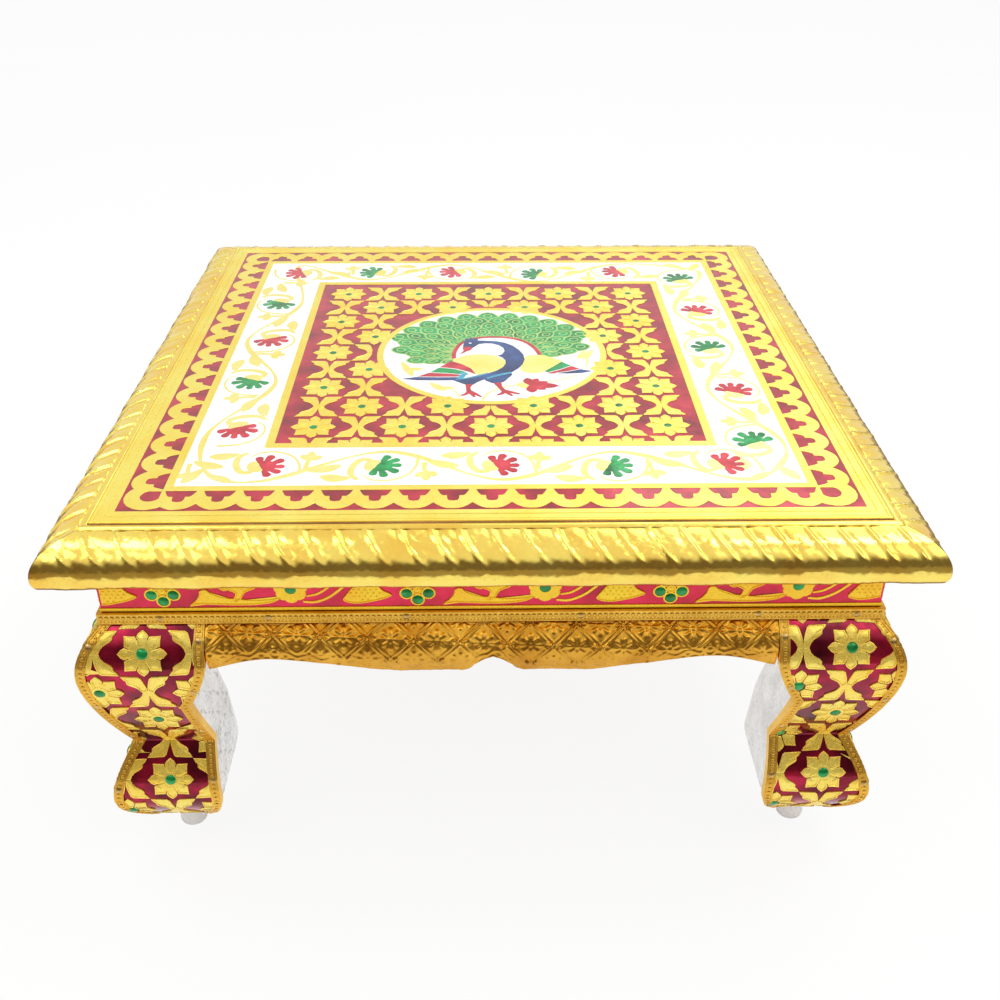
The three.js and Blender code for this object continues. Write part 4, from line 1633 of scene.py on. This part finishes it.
def stud(radius, height, segments, name):
    """A small domed stud, open underneath, where the metal that carries it closes it."""
    nothing_selected()
    bpy.ops.mesh.primitive_circle_add(vertices=segments, radius=radius * MM, fill_type="NGON")
    piece = bpy.context.object
    piece.name = name
    edit(piece)
    bpy.ops.transform.translate(value=(0, 0, -0.05 * MM))
    pull(0, 0, 0.5 * height + 0.05)
    bpy.ops.mesh.inset(thickness=0.32 * radius * MM, depth=0.4 * height * MM)
    bpy.ops.mesh.poke(offset=0.1 * height * MM)
    leave()
    return piece


def nail_head():
    return smooth(stud(1.2, 0.45, 10, "nail"), 60)


def across_flange(stations, kind, at):
    """Places of studs down a strip, at a distance from the outer or inner line of the leg."""
    places = []
    for s in stations:
        drop = np.interp(s, strip_face.length, leg_levels)
        line = outer_line if kind == "outer" else inner_line
        places.append((float(np.interp(drop, leg_levels, line)) + at, float(s)))
    return places


bead_pitch = 1.95
strip_start, strip_end = 6.2, float(strip_face.length[-1]) - 1.2
bead_rows = across_flange(np.arange(strip_start, strip_end, bead_pitch), "outer", -0.35)
bead_rows += across_flange(np.arange(strip_start, strip_end, bead_pitch), "inner", 0.35)
strip_beads = copied(stud(0.66, 0.26, 7, "bead"), [moved(x, -s) for x, s in bead_rows], "strip_beads")
strip_face.wrap(strip_beads)
nail_rows = across_flange((13.5, 41.0, 64.0, 88.0), "outer", -0.3)
nail_rows += across_flange((11.5, 33.0, 60.0, 84.0, 104.0), "inner", 0.3)
strip_nails = strip_face.wrap(copied(nail_head(), [moved(x, -s) for x, s in nail_rows], "strip_nails"))

rail_stations = np.arange(strip_start - 0.6, strip_end + 0.8, 1.3)
strip_rails = []
for edge, sign in (("outer", -1), ("inner", 1)):
    for off in (-1.15, 1.2):
        line = across_flange(rail_stations, edge, 0.35 * sign + off)
        left, right = [[(x + half, -y) for x, y in line] for half in (-0.2, 0.2)]
        strip_rails.append(pulled_up(laid_strip(left, right), -0.05, 0.12, 0.06))
rails = strip_face.wrap(faces_outward(joined(strip_rails, "strip_rails")))

# The beaded trim: how far out its face lies, the height of its middle, and half its length
trim_face, trim_middle, trim_half = 139.0, 116.1, 138.4
on_trim = moved(0, -trim_face, 0) @ standing


def along_trim(piece, places, name):
    """The piece copied along the front trim, to places from its middle."""
    return copied(piece, [on_trim @ moved(x, trim_middle + up) for x, up in places], name)


stud_places = [(x, 0.35) for x in np.arange(-137.6, 137.8, bead_pitch)]
dot_places = [(x, -1.2) for x in np.arange(-137.8, 137.9, bead_pitch / 1.5)]
nail_places = ((-117, 0.1), (-79, 0.3), (-30.5, 0.4), (31, 0.2), (94, 0.3), (129, -0.1))
trim_studs = along_trim(stud(0.8, 0.34, 8, "bead"), stud_places, "trim_beads")
small_studs = along_trim(stud(0.34, 0.22, 6, "bead"), dot_places, "trim_dots")
trim_nails = along_trim(nail_head(), nail_places, "trim_nails")
trim_lines = []
for low, high in ((114.02, 114.5), (117.7, 118.2)):
    rail = laid_strip([(-trim_half, low), (trim_half, low)], [(-trim_half, high), (trim_half, high)])
    pulled_up(rail, -0.05, 0.2, 0.1)
    rail.data.transform(on_trim)
    trim_lines.append(rail)

one_side = joined([strip_beads, rails], "strip_work")
one_side = joined(
    [one_side, mirrored_twin(one_side), trim_studs, small_studs, *trim_lines], "beaded_rows",
)
done(copied(faces_outward(one_side), side_turn.values(), "beaded_rows"), strip_gold)
all_nails = joined([strip_nails, mirrored_twin(strip_nails), trim_nails], "nails")
done(smooth(copied(all_nails, side_turn.values(), "cladding_nails"), 60), nail_brass)

# Aprons

apron_height = 23.8
apron_stops = [(5.0, 0, ""), (14.99, 7.6, "swollen"), (apron_height, 5.4, "late")]
apron_levels = np.linspace(0, apron_height, 240)
apron_face = Face(leg_outer + along_stops(apron_stops, apron_levels), apron_levels, skin)
# The lower edge, from the middle to the leg: shares of the apron's half length and of its height
bow = [
    (0, 0.67), (0.03, 0.726), (0.062, 0.835), (0.115, 1), (0.34, 1), (0.54, 0.845), (0.8, 0.69),
    (1, 0.93),
]


def bow_drop(x):
    """How far the apron's lower edge is under the frame, at distances from the middle."""
    curve = np.array(smoothed([(u * apron_half, v * apron_height) for u, v in bow], 12))
    order = np.argsort(curve[:, 0])
    return np.interp(np.abs(x), curve[order, 0], curve[order, 1])


def stamped_height(x, z):
    """Height of the stamped sheet: a lattice of double ridges with a rosette in each diamond."""
    pitch = 16.5
    p, q = (x + 28) / pitch, (z - 109 + 0.05 * (x + 28)) / pitch
    height = np.zeros_like(x)
    for diagonal in (p + q, p - q):
        off = (diagonal - np.round(diagonal)) * pitch / math.sqrt(2)
        height += 0.4 * bump_line(np.abs(off) - 0.62, 0.3) - 0.12 * bump_line(off, 0.3)
    row = np.round(2 * q) / 2
    nearest = np.round(p - 0.5 - row) + 0.5 + row
    dx, dz = (p - nearest) * pitch, (q - row) * pitch
    r, angle = np.hypot(dx, dz), np.arctan2(dz, dx)
    petal = np.abs(((angle / (math.pi / 4)) + 0.5) % 1 - 0.5) * (math.pi / 4) * r
    past_middle, before_end = np.clip((r - 1.2) / 0.6, 0, 1), np.clip((4.3 - r) / 0.8, 0, 1)
    height += 0.42 * bump_line(petal, 0.16 + 0.14 * r) * past_middle * before_end
    height += 0.4 * bump_line(r, 0.75)
    # A small ring towards each corner of the diamond
    for along, across in ((dx, dz), (dz, dx)):
        ring = np.hypot((np.abs(along) - 5.9) / 1.25, across)
        height += 0.35 * bump_line(ring - 1.0, 0.28)
    return height


def hem_height(x, up):
    """Height of the stamped row along the lower edge: small leaves along a wavy line."""
    wave = up - 2.7 - 0.7 * np.sin(2 * math.pi * x / 8.4)
    leaf_off = (x / 4.2) % 1 - 0.5
    leaves = 0.35 * bump_line(leaf_off * 4.2, 0.9) * bump_line(np.abs(up - 2.7) - 1.5, 0.7)
    off = np.hypot((x % 22) - 11, up - 2.9)
    bloom = 0.4 * bump_line(off - 2.0, 0.5) + 0.4 * bump_line(off, 0.7)
    near = np.clip((3.2 - off) / 0.6, 0, 1)
    stem = 0.35 * bump_line(wave, 0.35)
    return near * bloom + (1 - near) * (stem + leaves) + 0.3 * bump_line(up - 0.55, 0.3)


def apron_sheet(side):
    """One side's stamped sheet: its face, down to the bow of its lower edge, and a plain back."""
    columns = np.linspace(-apron_half, apron_half, 508)
    ends = np.interp(bow_drop(columns), apron_face.drop, apron_face.length)
    start = 4.3
    rows = []
    for t in np.linspace(0, 1, 56):
        s = start + (ends - start) * t
        out, drop, outward, upward = apron_face.at(s)
        z = 109.0 - (s - np.interp(9.6, apron_face.drop, apron_face.length))
        up = ends - s
        hem = np.clip((4.6 - up) / 0.5, 0, 1)
        height = (1 - hem) * stamped_height(columns, z) + hem * hem_height(columns, up)
        height += 0.09 * waves(7, 8, 40, 7)(columns, 2 * s)
        height *= np.clip((1 - np.abs(columns) / apron_half) * 80, 0, 1)
        height = np.maximum(height, -0.28)
        rows.append(np.stack([columns, -(out + height * outward), leg_top - drop + height * upward], 1))
    inner = []
    for t in (1.0, 0.75, 0.5, 0.25, 0.0):
        s = start + (ends - start) * t
        out, drop, _, _ = apron_face.at(s)
        inner.append(np.stack([columns, -(out - 0.38), leg_top - drop], 1))
    piece = closed_sheet(f"{side}_stamped_apron", rows + inner + rows[:1])
    piece.data.transform(side_turn[side])
    return done(smooth(piece, 60), apron_gold, [f"{side}_apron_sheet"])


for side in side_turn:
    apron_sheet(side)

# Linings, bushes


def leg_lining(leg, turn):
    """One embossed sheet over both inner faces, folded at their corner, for the back right leg."""
    levels = np.linspace(0.05, leg_height - 0.05, 132)
    inside = np.interp(levels, leg_levels, inner_line) - skin
    outside = np.interp(levels, leg_levels, outer_line) - 0.35
    share = np.linspace(0, 1, 40)
    to_edge, from_fold = np.clip((1 - share) * 12, 0, 1), np.clip(share * 10, 0, 1)
    rows = []
    for drop, near, far in zip(levels, inside, outside):
        u = near + (far - near) * share
        z = np.full(len(share), leg_top - drop)
        height = 0.5 * stamped_height(u * 1.6, z * 1.6) + 0.1 * waves(11, 8, 30, 6)(u, z)
        height = np.clip(height, -0.1, 0.4) * to_edge * from_fold
        along_x = np.stack([u, near - height, z], 1)
        along_y = np.stack([near - height, u, z], 1)
        rows.append(np.concatenate([along_x[::-1], along_y[1:]]))
    piece = shell(f"{leg}_silver_lining", rows)
    thickened(piece)
    faces_outward(piece)
    piece.data.transform(turn)
    return done(smooth(piece, 60), silver, [f"{leg}_leg_lining"])


for leg, turn in leg_turn.items():
    leg_lining(leg, turn)


def bush():
    """A turned plastic bush with a rounded foot, a slight flare and a shallow ring."""
    half = [
        (0, 0), (3.2, 0), (4.4, 0.35), (5.2, 1.1), (5.5, 2.0), (5.46, 3.2), (5.3, 4.0), (5.34, 5.0),
        (5.2, 8.0), (4.98, 12.0), (4.86, 15.98), (0, 15.98),
    ]
    nothing_selected()
    bpy.ops.mesh.primitive_plane_add(size=MM)
    piece = bpy.context.object
    edit(piece)
    bpy.ops.mesh.merge(type="CENTER")
    leave()
    piece.data.vertices[0].co = (0, 0, 0)
    edit(piece)
    for (x0, z0), (x1, z1) in zip(half, half[1:]):
        pull(x1 - x0, 0, z1 - z0)
    bpy.ops.mesh.select_all(action="SELECT")
    bpy.ops.mesh.spin(steps=40, angle=2 * math.pi, center=(0, 0, 0), axis=(0, 0, 1))
    bpy.ops.mesh.select_all(action="SELECT")
    bpy.ops.mesh.remove_doubles(threshold=0.001 * MM)
    bpy.ops.mesh.normals_make_consistent(inside=False)
    leave()
    return smooth(piece, 40)


bush_place = moved(124.35, 124.35)
bushes = copied(bush(), [turn @ bush_place for turn in leg_turn.values()], "leg_bushes")
done(bushes, bush_white, [f"{leg}_leg_bush" for leg in leg_turn])

# Pieces that keep their CAD shape

for name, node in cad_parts.items():
    finish = wood
    if "screw" in name:
        finish = screw_steel
    elif "strip" in name or "trim" in name:
        finish = strip_gold
    elif "frieze" in name:
        finish = frieze_red
    node.data.materials.clear()
    node.data.materials.append(finish)
